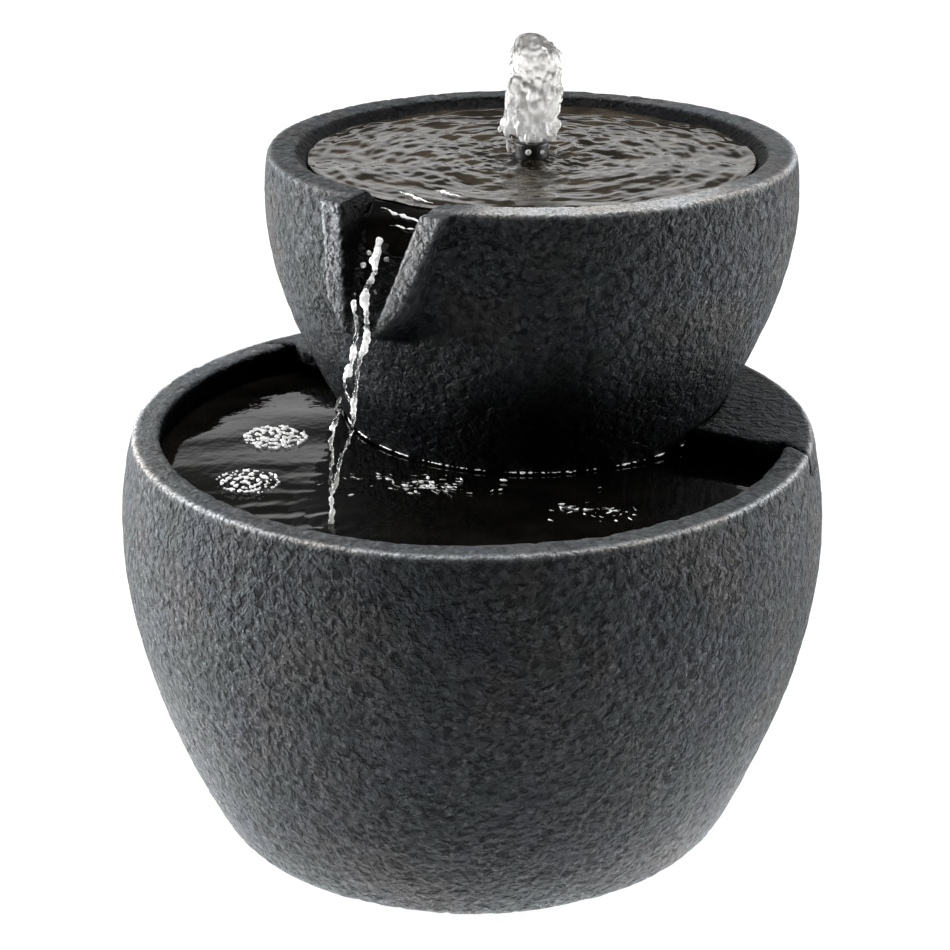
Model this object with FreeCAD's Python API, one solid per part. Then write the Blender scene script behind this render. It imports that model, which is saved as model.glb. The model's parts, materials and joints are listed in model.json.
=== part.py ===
import FreeCAD, Part
import math
import os

from FreeCAD import Vector

# A two-bowl fountain in millimetres. The origin is the middle of the lower bowl's underside,
# +Z is up, and the spout faces -Y.

# Lower bowl, outside radii and heights from foot to rim
LOWER_FOOT_RADIUS = 152.0
LOWER_WAIST_RADIUS = 185.4
LOWER_WAIST_HEIGHT = 83.0
LOWER_BELLY_RADIUS = 200.0
LOWER_BELLY_HEIGHT = 166.0
LOWER_RIM_RADIUS = 192.0
LOWER_HEIGHT = 233.0
LOWER_WALL = 17.0
LOWER_FLOOR = 18.0
LOWER_FOOT_ROUND = 10.0
LOWER_FLOOR_ROUND = 8.0

# Rounding along both rims
RIM_OUTER_ROUND = 2.5
RIM_INNER_ROUND = 2.5

# Deck that covers the rear of the lower bowl, level with its rim
DECK_THICKNESS = 12.0
DECK_FRONT = 51.0
DECK_BEND_LENGTH = 18.0
DECK_HORN_RISE = 8.5
DECK_TAIL_DROP = 19.0
DECK_SEAM_BULGE = 4.0
DECK_SEAM = 0.5
DECK_CUP_WALL = 9.0
DECK_WALL_CLEARANCE = 3.0
SEAT_THICKNESS = 10.0

# Upper bowl, outside radii and heights above its foot
UPPER_SET_BACK = 65.0
UPPER_SINK = 21.0
UPPER_FOOT_RADIUS = 103.0
UPPER_HIP_RADIUS = 126.8
UPPER_HIP_HEIGHT = 45.0
UPPER_SHOULDER_RADIUS = 147.2
UPPER_SHOULDER_HEIGHT = 100.0
UPPER_BELLY_RADIUS = 152.0
UPPER_BELLY_HEIGHT = 141.0
UPPER_RIM_RADIUS = 149.6
UPPER_HEIGHT = 166.0
UPPER_FOOT_ROUND = 16.0
UPPER_RIM_WIDTH = 15.0
UPPER_WALL = 17.0
FOOT_RING_WIDTH = 27.0
BOWL_CLEARANCE = 0.8

# Dish inside the upper bowl
DISH_RADIUS = 126.0
DISH_DEPTH = 85.0
DISH_FLOOR = 14.0
DISH_FLOOR_ROUND = 18.0
DISH_SHOULDER_DROP = 8.0

# Spout chute on the upper bowl's front wall
CHUTE_HALF_WIDTH = 37.4
CHUTE_TOP_DROP = 1.5
CHUTE_JAW_HALF_WIDTH = 23.0
CHUTE_JAW_DROP = 48.0
CHUTE_TIP_HALF_WIDTH = 10.0
CHUTE_TIP_DROP = 63.0
CHUTE_ROOT_DROP = 82.0
CHUTE_REACH = 6.4
CHUTE_LEAN = 21.0
CHANNEL_HALF_WIDTH = 24.2
CHANNEL_TIP_HALF_WIDTH = 8.5
CHANNEL_TIP_DROP = 59.0
SILL_DROP = 12.0
SILL_LENGTH = 3.4

# Water: levels below the two rims, the jet and the falling stream
LOWER_WATER_DROP = 12.5
UPPER_WATER_DROP = 6.0
WATER_GAP = 0.4
JET_HEIGHT = 60.0
JET_RADIUS = 14.8
JET_SKIRT_RADIUS = 17.5
STREAM_HALF_WIDTH = 6.0
STREAM_HALF_DEPTH = 2.4
STREAM_FOOT_SHARE = 0.75
STREAM_SLOPE = 1.75
STREAM_REACH = 29.0
STREAM_FALL_STEPS = 6

# Pedestal round the pump
PEDESTAL_RADIUS = 66.0
PEDESTAL_WALL = 8.0
ARCH_WIDTH = 34.0
ARCH_HEIGHT = 46.0
ARCH_COUNT = 4

# Pump, with its shaft along Y and its outlet under the upper bowl's axis
PUMP_WIDTH = 44.0
PUMP_HEIGHT = 40.0
PUMP_CORNER = 8.0
MOTOR_LENGTH = 34.0
VOLUTE_DEPTH = 15.0
VOLUTE_FRONT = 4.0
CHAMBER_RADIUS = 15.0
INLET_RADIUS = 8.0
BRIDGE_WIDTH = 6.0
GASKET_THICKNESS = 1.0
FOOT_HEIGHT = 6.0
FOOT_RADIUS = 8.0
FOOT_NECK_RADIUS = 3.5
FOOT_INSET = 8.0
SHAFT_RADIUS = 1.5
SHAFT_CLEARANCE = 0.05
SHAFT_SOCKET = 5.0
IMPELLER_RADIUS = 12.5
IMPELLER_DISC = 2.0
BLADE_HEIGHT = 6.5
BLADE_BEND = 8.0
BLADE_THICKNESS = 1.2
BLADE_COUNT = 6
HUB_RADIUS = 2.8
MAGNET_RADIUS = 7.5
MAGNET_LENGTH = 18.0
MAGNET_CLEARANCE = 0.8
IMPELLER_END_PLAY = 0.4
SCREW_RADIUS = 1.4
SCREW_HEAD_RADIUS = 2.6
SCREW_HEAD_HEIGHT = 2.0
SCREW_INSET = 6.0
SCREW_GRIP = 10.0
SCREW_CLEARANCE = 0.2
GLAND_LENGTH = 8.0
GLAND_RADIUS = 5.0
GLAND_TIP_WALL = 2.0
LEAD_RADIUS = 2.6

# Strainer that pulls off the pump's front, and the flow dial on it
STRAINER_DEPTH = 18.0
STRAINER_WALL = 2.0
STRAINER_LAP = 4.0
STRAINER_CLEARANCE = 0.3
SLOT_WIDTH = 2.6
SLOT_HEIGHT = 26.0
SLOT_PITCH = 4.4
SLOTS_PER_SIDE = 3
DIAL_RADIUS = 6.0
DIAL_THICKNESS = 3.0
DIAL_STEM_RADIUS = 2.4
DIAL_HEAD_RADIUS = 3.6
DIAL_HEAD = 1.2
DIAL_GRIP = 3.0
DIAL_GRIP_WIDTH = 2.4
DIAL_END_PLAY = 0.2

# Riser, bulkhead and nozzle on the upper bowl's axis
RISER_RADIUS = 9.0
RISER_BORE = 7.0
SPIGOT_LENGTH = 18.0
SPIGOT_BORE = 5.0
TUBE_CLEARANCE = 0.1
RISER_SLIP = 0.4
RISER_ENTRY = 20.0
SEAT_HOLE_RADIUS = 16.0
CLIP_THICKNESS = 1.5
CLIP_HEIGHT = 9.0
CLIP_BLOCK = 7.0
BULKHEAD_RADIUS = 13.0
BULKHEAD_TAIL = 18.0
FLANGE_RADIUS = 22.0
FLANGE_THICKNESS = 4.0
FLANGE_GASKET = 1.5
NUT_RADIUS = 21.0
NUT_SIDES = 6
NUT_HEIGHT = 10.0
SEAL_HEIGHT = 3.0
SEAL_WIDTH = 2.2
STANDPIPE_RADIUS = 8.0
STANDPIPE_BORE = 6.0
STANDPIPE_ENTRY = 10.0
NOZZLE_RADIUS = 10.5
NOZZLE_NECK_RADIUS = 9.0
NOZZLE_SOCKET = 12.0
NOZZLE_LENGTH = 21.0
NOZZLE_BORE = 5.0
CAP_RADIUS = 9.8
CAP_HEIGHT = 10.0
CAP_RISE = 9.0
CAP_WALL = 3.0
CAP_ROUND = 2.0
CAP_HOLE_RADIUS = 1.3
CAP_HOLE_CIRCLE = 4.6
CAP_HOLES = 6

# Rubber pads under the upper bowl and the grommet for the panel's lead
PAD_RADIUS = 6.0
PAD_THICKNESS = 3.0
PAD_PROUD = 0.6
PAD_CLEARANCE = 0.2
PAD_COUNT = 3
GROMMET_HALF_WIDTH = 5.0
GROMMET_SIDE = 3.0
GROMMET_PROUD = 1.0
GROMMET_SETBACK = 2.0
GROMMET_CLEARANCE = 0.4
LEAD_EXIT_ANGLE = 60.0

# Levels and places that follow from the sizes above
POOL_LEVEL = LOWER_HEIGHT - LOWER_WATER_DROP
LEDGE_LEVEL = LOWER_HEIGHT - DECK_THICKNESS
FOOT_LEVEL = LOWER_HEIGHT - UPPER_SINK
SEAT_TOP = FOOT_LEVEL - PAD_PROUD
SEAT_BOTTOM = SEAT_TOP - SEAT_THICKNESS
UPPER_TOP = FOOT_LEVEL + UPPER_HEIGHT
UPPER_LEVEL = UPPER_TOP - UPPER_WATER_DROP
DISH_LEVEL = UPPER_TOP - DISH_DEPTH
DISH_UNDERSIDE = DISH_LEVEL - DISH_FLOOR
PUMP_BOTTOM = LOWER_FLOOR + FOOT_HEIGHT
PUMP_TOP = PUMP_BOTTOM + PUMP_HEIGHT
PUMP_AXIS = PUMP_BOTTOM + PUMP_HEIGHT / 2
VOLUTE_FACE = UPPER_SET_BACK - VOLUTE_DEPTH / 2
VOLUTE_BACK = VOLUTE_FACE + VOLUTE_DEPTH
MOTOR_FACE = VOLUTE_BACK + GASKET_THICKNESS
MOTOR_BACK = MOTOR_FACE + MOTOR_LENGTH
STRAINER_FACE = VOLUTE_FACE - STRAINER_DEPTH
BULKHEAD_BOTTOM = DISH_UNDERSIDE - BULKHEAD_TAIL
FLANGE_BOTTOM = DISH_LEVEL + FLANGE_GASKET
FLANGE_TOP = FLANGE_BOTTOM + FLANGE_THICKNESS
RISER_TOP = BULKHEAD_BOTTOM + RISER_ENTRY
CAP_TOP = UPPER_LEVEL + CAP_RISE
NOZZLE_TOP = CAP_TOP - CAP_HEIGHT
NOZZLE_BOTTOM = NOZZLE_TOP - NOZZLE_LENGTH
STANDPIPE_TOP = NOZZLE_BOTTOM + NOZZLE_SOCKET
STANDPIPE_BOTTOM = FLANGE_TOP - STANDPIPE_ENTRY
REACH = LOWER_BELLY_RADIUS + UPPER_BELLY_RADIUS


# Helpers

def outline(points):
    """Smooth curve through (radius, height) points, in the XZ plane."""
    curve = Part.BSplineCurve()
    curve.interpolate([Vector(radius, 0, height) for radius, height in points])
    return curve


def radius_at(curve, height):
    """Radius of a rising outline at a height, found by halving its parameter range."""
    low = curve.FirstParameter
    high = curve.LastParameter
    for _ in range(50):
        middle = (low + high) / 2
        if curve.value(middle).z < height:
            low = middle
        else:
            high = middle
    return curve.value((low + high) / 2).x


def turned(edges):
    """Solid turned round the Z axis from a closed half profile."""
    face = Part.Face(Part.Wire(edges))
    return face.revolve(Vector(0, 0, 0), Vector(0, 0, 1), 360)


def line(start, end):
    return Part.makeLine(start, end)


def turned_outline(curve):
    """Solid inside an outline, closed flat at its foot and top."""
    foot = curve.value(curve.FirstParameter)
    top = curve.value(curve.LastParameter)
    foot_centre = Vector(0, 0, foot.z)
    top_centre = Vector(0, 0, top.z)
    edges = [line(foot_centre, foot), curve.toShape(), line(top, top_centre)]
    edges.append(line(top_centre, foot_centre))
    return turned(edges)


def turned_polygon(points):
    """Solid turned from a closed polygon of (radius, height) corners."""
    corners = [Vector(radius, 0, height) for radius, height in points]
    corners.append(corners[0])
    return turned(Part.makePolygon(corners).Edges)


def ring_edge(shape, radius, height):
    """Circular edge of a turned solid at a radius and height."""
    def distance(edge):
        circle = edge.Curve
        return abs(circle.Radius - radius) + abs(circle.Center.z - height)

    circles = [edge for edge in shape.Edges if isinstance(edge.Curve, Part.Circle)]
    return min(circles, key=distance)


def rounded_ring(shape, size, radius, height):
    return shape.makeFillet(size, [ring_edge(shape, radius, height)])


def on_upper_axis(shape):
    return shape.translated(Vector(0, UPPER_SET_BACK, 0))


def post(radius, low, high, x=0.0, y=UPPER_SET_BACK):
    """Upright cylinder, on the upper bowl's axis unless another place is given."""
    return Part.makeCylinder(radius, high - low, Vector(x, y, low))


def tube(outer, inner, low, high):
    return post(outer, low, high).cut(post(inner, low, high))


def bar(radius, front, back, x=0.0, z=PUMP_AXIS):
    """Cylinder along Y, on the pump's axis unless another place is given."""
    return Part.makeCylinder(radius, back - front, Vector(x, front, z), Vector(0, 1, 0))


def box(x, y, z):
    """Box from three (low, high) spans."""
    size = [span[1] - span[0] for span in (x, y, z)]
    return Part.makeBox(*size, Vector(x[0], y[0], z[0]))


def block(width, height, corner, front, back):
    """Block along Y round the pump's axis, with its long edges rounded."""
    across = (-width / 2, width / 2)
    upright = (PUMP_AXIS - height / 2, PUMP_AXIS + height / 2)
    solid = box(across, (front, back), upright)
    long_edges = [edge for edge in solid.Edges if edge.BoundBox.YLength > edge.Length / 2]
    return solid.makeFillet(corner, long_edges)


def polygon_face(points):
    return Part.Face(Part.makePolygon(points + points[:1]))


def ring_of(shape, count, centre, axis=Vector(0, 0, 1)):
    """Copies of a shape spaced evenly round an axis."""
    copies = []
    for index in range(count):
        copy = shape.copy()
        copy.rotate(centre, axis, 360 * index / count)
        copies.append(copy)
    return copies


# Lower bowl and deck

UPPER_CENTRE = Vector(0, UPPER_SET_BACK, 0)

LOWER_OUTLINE = outline([
    (LOWER_FOOT_RADIUS, 0),
    (LOWER_WAIST_RADIUS, LOWER_WAIST_HEIGHT),
    (LOWER_BELLY_RADIUS, LOWER_BELLY_HEIGHT),
    (LOWER_RIM_RADIUS, LOWER_HEIGHT),
])


def lower_inside(gap, top):
    """Outline of the lower bowl's inside up to a height, drawn in by a gap."""
    floor = LOWER_FLOOR + gap
    heights = [floor]
    heights += [height for height in (LOWER_WAIST_HEIGHT, LOWER_BELLY_HEIGHT) if floor < height < top]
    heights.append(top)
    return outline([(radius_at(LOWER_OUTLINE, height) - LOWER_WALL - gap, height) for height in heights])


def lower_filled(gap, top):
    """What fills the lower bowl to a height, with the rounding along its floor."""
    curve = lower_inside(gap, top)
    foot = curve.value(curve.FirstParameter)
    return rounded_ring(turned_outline(curve), LOWER_FLOOR_ROUND, foot.x, foot.z)


def lower_solid():
    """Outside of the lower bowl as one filled form, with its rounded foot and rim."""
    solid = turned_outline(LOWER_OUTLINE)
    solid = rounded_ring(solid, LOWER_FOOT_ROUND, LOWER_FOOT_RADIUS, 0)
    return rounded_ring(solid, RIM_OUTER_ROUND, LOWER_RIM_RADIUS, LOWER_HEIGHT)


def deck_plan(seam):
    """The deck's outline from above, its front edge brought forward by the seam."""
    front = DECK_FRONT - seam
    rim_inside = LOWER_RIM_RADIUS - LOWER_WALL
    horn_y = front + DECK_HORN_RISE
    horn_x = math.sqrt(rim_inside ** 2 - horn_y ** 2)
    tail_y = front - DECK_TAIL_DROP
    tail_x = math.sqrt((LOWER_BELLY_RADIUS + RIM_OUTER_ROUND) ** 2 - tail_y ** 2)

    def right(x, y):
        return Vector(x, y, 0)

    def left(x, y):
        return Vector(-x, y, 0)

    def side(at):
        bend = Part.Arc(
            at(horn_x - DECK_BEND_LENGTH, front),
            at(horn_x - DECK_BEND_LENGTH / 2, front + DECK_HORN_RISE / 4),
            at(horn_x, horn_y),
        )
        seam_middle = at((horn_x + tail_x) / 2, (horn_y + tail_y) / 2 + DECK_SEAM_BULGE)
        across_rim = Part.Arc(at(horn_x, horn_y), seam_middle, at(tail_x, tail_y))
        outside = line(at(tail_x, tail_y), at(REACH, tail_y))
        behind = line(at(REACH, tail_y), at(REACH, REACH))
        return [bend.toShape(), across_rim.toShape(), outside, behind]

    front_edge = line(left(horn_x - DECK_BEND_LENGTH, front), right(horn_x - DECK_BEND_LENGTH, front))
    back_edge = line(left(REACH, REACH), right(REACH, REACH))
    edges = [front_edge, back_edge] + side(left) + side(right)
    return Part.Face(Part.Wire(Part.__sortEdges__(edges)))


def deck_column(seam, low, high):
    """Upright column over the deck's outline between two heights."""
    plan = deck_plan(seam).translated(Vector(0, 0, low))
    return plan.extrude(Vector(0, 0, high - low))


def lower_bowl():
    solid = lower_solid().cut(lower_filled(0, LOWER_HEIGHT))
    solid = rounded_ring(solid, RIM_INNER_ROUND, LOWER_RIM_RADIUS - LOWER_WALL, LOWER_HEIGHT)
    return solid.cut(deck_column(DECK_SEAM, LEDGE_LEVEL, UPPER_TOP))


def upper_outline(gap):
    """Outside of the upper bowl, let out by a gap."""
    return outline([
        (UPPER_FOOT_RADIUS + gap, FOOT_LEVEL),
        (UPPER_HIP_RADIUS + gap, FOOT_LEVEL + UPPER_HIP_HEIGHT),
        (UPPER_SHOULDER_RADIUS + gap, FOOT_LEVEL + UPPER_SHOULDER_HEIGHT),
        (UPPER_BELLY_RADIUS + gap, FOOT_LEVEL + UPPER_BELLY_HEIGHT),
        (UPPER_RIM_RADIUS + gap, UPPER_TOP),
    ])


UPPER_OUTLINE = upper_outline(0)
CUP_RADIUS = radius_at(UPPER_OUTLINE, LOWER_HEIGHT) + BOWL_CLEARANCE + DECK_CUP_WALL
WATERLINE_RADIUS = radius_at(UPPER_OUTLINE, POOL_LEVEL) + BOWL_CLEARANCE
SEAT_RADIUS = WATERLINE_RADIUS - BOWL_CLEARANCE
PAD_CIRCLE = UPPER_FOOT_RADIUS - FOOT_RING_WIDTH / 2 - PAD_RADIUS / 2


def lead_arch(gap, inner, outer):
    """Arched form on the ledge that the lead passes through, at its angle round the bowl."""
    half_width = GROMMET_HALF_WIDTH + gap
    spring = LEDGE_LEVEL + GROMMET_SIDE
    straight = box((-half_width, half_width), (inner, outer), (LEDGE_LEVEL, spring))
    arch = straight.fuse(bar(half_width, inner, outer, 0, spring)).removeSplitter()
    arch = arch.cut(box((-REACH, REACH), (inner, outer), (0, LEDGE_LEVEL)))
    arch.rotate(Vector(0, 0, 0), Vector(0, 0, 1), LEAD_EXIT_ANGLE)
    return arch


LEDGE_INSIDE = radius_at(LOWER_OUTLINE, LEDGE_LEVEL) - LOWER_WALL
LEDGE_OUTSIDE = radius_at(LOWER_OUTLINE, LEDGE_LEVEL)


def cable_grommet():
    inner = LEDGE_INSIDE + GROMMET_SETBACK
    outer = LEDGE_OUTSIDE + GROMMET_PROUD
    hole = bar(LEAD_RADIUS, inner, outer, 0, LEDGE_LEVEL + GROMMET_SIDE + LEAD_RADIUS / 2)
    hole.rotate(Vector(0, 0, 0), Vector(0, 0, 1), LEAD_EXIT_ANGLE)
    return lead_arch(0, inner, outer).cut(hole)


def pads(radius, thickness):
    pad = post(radius, FOOT_LEVEL - thickness, FOOT_LEVEL, PAD_CIRCLE)
    return ring_of(pad, PAD_COUNT, UPPER_CENTRE)


def deck():
    slab = lower_solid().common(deck_column(0, LEDGE_LEVEL, LOWER_HEIGHT))
    cup = post(CUP_RADIUS, SEAT_BOTTOM, LEDGE_LEVEL)
    cup = cup.common(deck_column(0, SEAT_BOTTOM, LEDGE_LEVEL))
    cup = cup.common(post(LEDGE_INSIDE - DECK_WALL_CLEARANCE, 0, UPPER_TOP, 0, 0))
    solid = slab.fuse([cup, post(SEAT_RADIUS, SEAT_BOTTOM, SEAT_TOP)]).removeSplitter()
    bowl_space = on_upper_axis(turned_outline(upper_outline(BOWL_CLEARANCE)))
    solid = solid.cut(bowl_space).cut(post(UPPER_FOOT_RADIUS + BOWL_CLEARANCE, SEAT_TOP, LEDGE_LEVEL))
    solid = solid.cut(post(SEAT_HOLE_RADIUS, 0, UPPER_TOP))
    lead_space = lead_arch(GROMMET_CLEARANCE, CUP_RADIUS, REACH)
    return solid.cut(pads(PAD_RADIUS + PAD_CLEARANCE, PAD_THICKNESS)).cut(lead_space)


def pedestal():
    wall = tube(PEDESTAL_RADIUS, PEDESTAL_RADIUS - PEDESTAL_WALL, LOWER_FLOOR, SEAT_BOTTOM)
    half = ARCH_WIDTH / 2
    crown = LOWER_FLOOR + ARCH_HEIGHT - half
    far = UPPER_SET_BACK + PEDESTAL_RADIUS + PEDESTAL_WALL
    arch = box((-half, half), (UPPER_SET_BACK, far), (LOWER_FLOOR, crown))
    arch = arch.fuse(bar(half, UPPER_SET_BACK, far, 0, crown))
    return wall.cut(ring_of(arch, ARCH_COUNT, UPPER_CENTRE))


# Upper bowl

def chute_front(drop):
    """Y of the chute's leaning front face at a drop below the rim."""
    rim_front = UPPER_SET_BACK - UPPER_RIM_RADIUS
    return rim_front - CHUTE_REACH - CHUTE_LEAN * drop / CHANNEL_TIP_DROP


CHUTE_ROOT = UPPER_SET_BACK - DISH_RADIUS
SILL_FRONT = UPPER_SET_BACK - UPPER_RIM_RADIUS + UPPER_RIM_WIDTH - SILL_LENGTH
LIP_Y = chute_front(CHANNEL_TIP_DROP)
LIP_Z = UPPER_TOP - CHANNEL_TIP_DROP
SILL_Z = UPPER_TOP - SILL_DROP


def chute_block():
    """Solid chute: a leaning six-sided front run back into the bowl's wall."""
    root_growth = CHUTE_ROOT_DROP / CHUTE_TIP_DROP
    halves = [(CHUTE_HALF_WIDTH, CHUTE_TOP_DROP), (CHUTE_JAW_HALF_WIDTH, CHUTE_JAW_DROP)]
    halves.append((CHUTE_TIP_HALF_WIDTH, CHUTE_TIP_DROP))
    right = [Vector(half, chute_front(drop), UPPER_TOP - drop) for half, drop in halves]
    left = [Vector(-corner.x, corner.y, corner.z) for corner in reversed(right)]
    right_root = [Vector(half, CHUTE_ROOT, UPPER_TOP - drop * root_growth) for half, drop in halves]
    left_root = [Vector(-corner.x, corner.y, corner.z) for corner in reversed(right_root)]
    wires = []
    for corners in (right + left, right_root + left_root):
        wires.append(Part.makePolygon(corners + corners[:1]))
    return Part.makeLoft(wires, True, True)


def channel():
    """Open channel cut through the rim and down the chute to its lip."""
    flare = (CHANNEL_HALF_WIDTH - CHANNEL_TIP_HALF_WIDTH) / CHANNEL_TIP_DROP
    above = RIM_OUTER_ROUND
    top_half = CHANNEL_HALF_WIDTH + flare * above
    front = LIP_Y - CHUTE_LEAN
    back = UPPER_SET_BACK
    slope = (SILL_Z - LIP_Z) / (SILL_FRONT - LIP_Y)
    across = polygon_face([
        Vector(-top_half, front, UPPER_TOP + above),
        Vector(top_half, front, UPPER_TOP + above),
        Vector(CHANNEL_TIP_HALF_WIDTH, front, LIP_Z),
        Vector(-CHANNEL_TIP_HALF_WIDTH, front, LIP_Z),
    ])
    along = polygon_face([
        Vector(-top_half, back, SILL_Z),
        Vector(-top_half, SILL_FRONT, SILL_Z),
        Vector(-top_half, front, LIP_Z - slope * (LIP_Y - front)),
        Vector(-top_half, front, UPPER_TOP + above),
        Vector(-top_half, back, UPPER_TOP + above),
    ])
    walls = across.extrude(Vector(0, back - front, 0))
    return walls.common(along.extrude(Vector(2 * top_half, 0, 0)))


def dish_filled(gap, top):
    """What fills the upper bowl's dish to a height, drawn in by a gap."""
    rim_inside = UPPER_RIM_RADIUS - UPPER_RIM_WIDTH
    shoulder = UPPER_TOP - DISH_SHOULDER_DROP
    spread = (rim_inside - DISH_RADIUS) / DISH_SHOULDER_DROP
    floor = DISH_LEVEL + gap
    corners = [(0, floor), (DISH_RADIUS - gap, floor)]
    if top > shoulder:
        corners.append((DISH_RADIUS - gap, shoulder))
        corners.append((DISH_RADIUS - gap + spread * (top - shoulder), top))
    else:
        corners.append((DISH_RADIUS - gap, top))
    corners.append((0, top))
    solid = turned_polygon(corners)
    return on_upper_axis(rounded_ring(solid, DISH_FLOOR_ROUND, DISH_RADIUS - gap, floor))


def foot_hollow():
    """Open hollow under the dish, inside the upper bowl's foot ring."""
    top_radius = radius_at(UPPER_OUTLINE, DISH_UNDERSIDE) - UPPER_WALL
    foot_radius = UPPER_FOOT_RADIUS - FOOT_RING_WIDTH
    corners = [(0, FOOT_LEVEL), (foot_radius, FOOT_LEVEL)]
    corners += [(top_radius, DISH_UNDERSIDE), (0, DISH_UNDERSIDE)]
    return on_upper_axis(turned_polygon(corners))


def upper_bowl():
    solid = turned_outline(UPPER_OUTLINE)
    solid = rounded_ring(solid, UPPER_FOOT_ROUND, UPPER_FOOT_RADIUS, FOOT_LEVEL)
    solid = on_upper_axis(rounded_ring(solid, RIM_OUTER_ROUND, UPPER_RIM_RADIUS, UPPER_TOP))
    solid = solid.fuse(chute_block()).removeSplitter()
    solid = solid.cut(dish_filled(0, UPPER_TOP)).cut(foot_hollow()).cut(channel())
    return solid.cut(post(BULKHEAD_RADIUS + TUBE_CLEARANCE, 0, UPPER_TOP))


def bulkhead_fitting():
    solid = post(BULKHEAD_RADIUS, BULKHEAD_BOTTOM, FLANGE_TOP)
    solid = solid.fuse(post(FLANGE_RADIUS, FLANGE_BOTTOM, FLANGE_TOP)).removeSplitter()
    solid = solid.cut(post(RISER_RADIUS + RISER_SLIP, BULKHEAD_BOTTOM, RISER_TOP + RISER_SLIP))
    solid = solid.cut(post(STANDPIPE_BORE, BULKHEAD_BOTTOM, FLANGE_TOP))
    solid = solid.cut(post(RISER_RADIUS + SEAL_WIDTH, BULKHEAD_BOTTOM, BULKHEAD_BOTTOM + SEAL_HEIGHT))
    return solid.cut(post(STANDPIPE_RADIUS + TUBE_CLEARANCE, STANDPIPE_BOTTOM, FLANGE_TOP))


def riser_seal():
    outer = RISER_RADIUS + SEAL_WIDTH - TUBE_CLEARANCE
    return tube(outer, RISER_RADIUS + RISER_SLIP, BULKHEAD_BOTTOM, BULKHEAD_BOTTOM + SEAL_HEIGHT)


def bulkhead_gasket():
    return tube(FLANGE_RADIUS, BULKHEAD_RADIUS + TUBE_CLEARANCE, DISH_LEVEL, FLANGE_BOTTOM)


def bulkhead_nut():
    low = DISH_UNDERSIDE - NUT_HEIGHT
    corners = []
    for index in range(NUT_SIDES):
        angle = 2 * math.pi * index / NUT_SIDES
        corners.append(UPPER_CENTRE + Vector(NUT_RADIUS * math.cos(angle), NUT_RADIUS * math.sin(angle), low))
    solid = polygon_face(corners).extrude(Vector(0, 0, NUT_HEIGHT))
    return solid.cut(post(BULKHEAD_RADIUS + TUBE_CLEARANCE, 0, UPPER_TOP))


def standpipe():
    return tube(STANDPIPE_RADIUS, STANDPIPE_BORE, STANDPIPE_BOTTOM, STANDPIPE_TOP)


def nozzle_body():
    solid = turned_polygon([
        (0, NOZZLE_BOTTOM),
        (NOZZLE_RADIUS, NOZZLE_BOTTOM),
        (NOZZLE_RADIUS, STANDPIPE_TOP),
        (NOZZLE_NECK_RADIUS, NOZZLE_TOP),
        (0, NOZZLE_TOP),
    ])
    solid = on_upper_axis(solid).cut(post(NOZZLE_BORE, NOZZLE_BOTTOM, NOZZLE_TOP))
    return solid.cut(post(STANDPIPE_RADIUS + TUBE_CLEARANCE, NOZZLE_BOTTOM, STANDPIPE_TOP))


def nozzle_cap():
    solid = Part.makeCylinder(CAP_RADIUS, CAP_HEIGHT, Vector(0, 0, NOZZLE_TOP))
    solid = on_upper_axis(rounded_ring(solid, CAP_ROUND, CAP_RADIUS, CAP_TOP))
    solid = solid.cut(post(NOZZLE_BORE, NOZZLE_TOP, CAP_TOP - CAP_WALL))
    hole = post(CAP_HOLE_RADIUS, NOZZLE_TOP, CAP_TOP, CAP_HOLE_CIRCLE)
    return solid.cut(ring_of(hole, CAP_HOLES, UPPER_CENTRE)).cut(post(CAP_HOLE_RADIUS, NOZZLE_TOP, CAP_TOP))


# Pump, riser and their fastenings

SCREW_PLACES = [
    (side * (PUMP_WIDTH / 2 - SCREW_INSET), PUMP_AXIS + end * (PUMP_HEIGHT / 2 - SCREW_INSET))
    for side in (-1, 1)
    for end in (-1, 1)
]
HUB_FRONT = VOLUTE_FACE + VOLUTE_FRONT + IMPELLER_END_PLAY
DISC_FRONT = HUB_FRONT + BLADE_HEIGHT
MAGNET_FRONT = MOTOR_FACE + MAGNET_CLEARANCE
MAGNET_BACK = MAGNET_FRONT + MAGNET_LENGTH
WELL_BACK = MAGNET_BACK + IMPELLER_END_PLAY
SHAFT_BACK = WELL_BACK + SHAFT_SOCKET


def screw_holes(radius, front, back):
    return [bar(radius, front, back, x, z) for x, z in SCREW_PLACES]


def pump_body():
    solid = block(PUMP_WIDTH, PUMP_HEIGHT, PUMP_CORNER, MOTOR_FACE, MOTOR_BACK)
    solid = solid.cut(bar(MAGNET_RADIUS + MAGNET_CLEARANCE, MOTOR_FACE, WELL_BACK))
    solid = solid.cut(bar(SHAFT_RADIUS + TUBE_CLEARANCE, WELL_BACK, SHAFT_BACK))
    return solid.cut(screw_holes(SCREW_RADIUS + TUBE_CLEARANCE, MOTOR_FACE, MOTOR_FACE + SCREW_GRIP))


def pump_gasket():
    solid = block(PUMP_WIDTH, PUMP_HEIGHT, PUMP_CORNER, VOLUTE_BACK, MOTOR_FACE)
    solid = solid.cut(bar(CHAMBER_RADIUS, VOLUTE_BACK, MOTOR_FACE))
    return solid.cut(screw_holes(SCREW_RADIUS + SCREW_CLEARANCE, VOLUTE_BACK, MOTOR_FACE))


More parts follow.
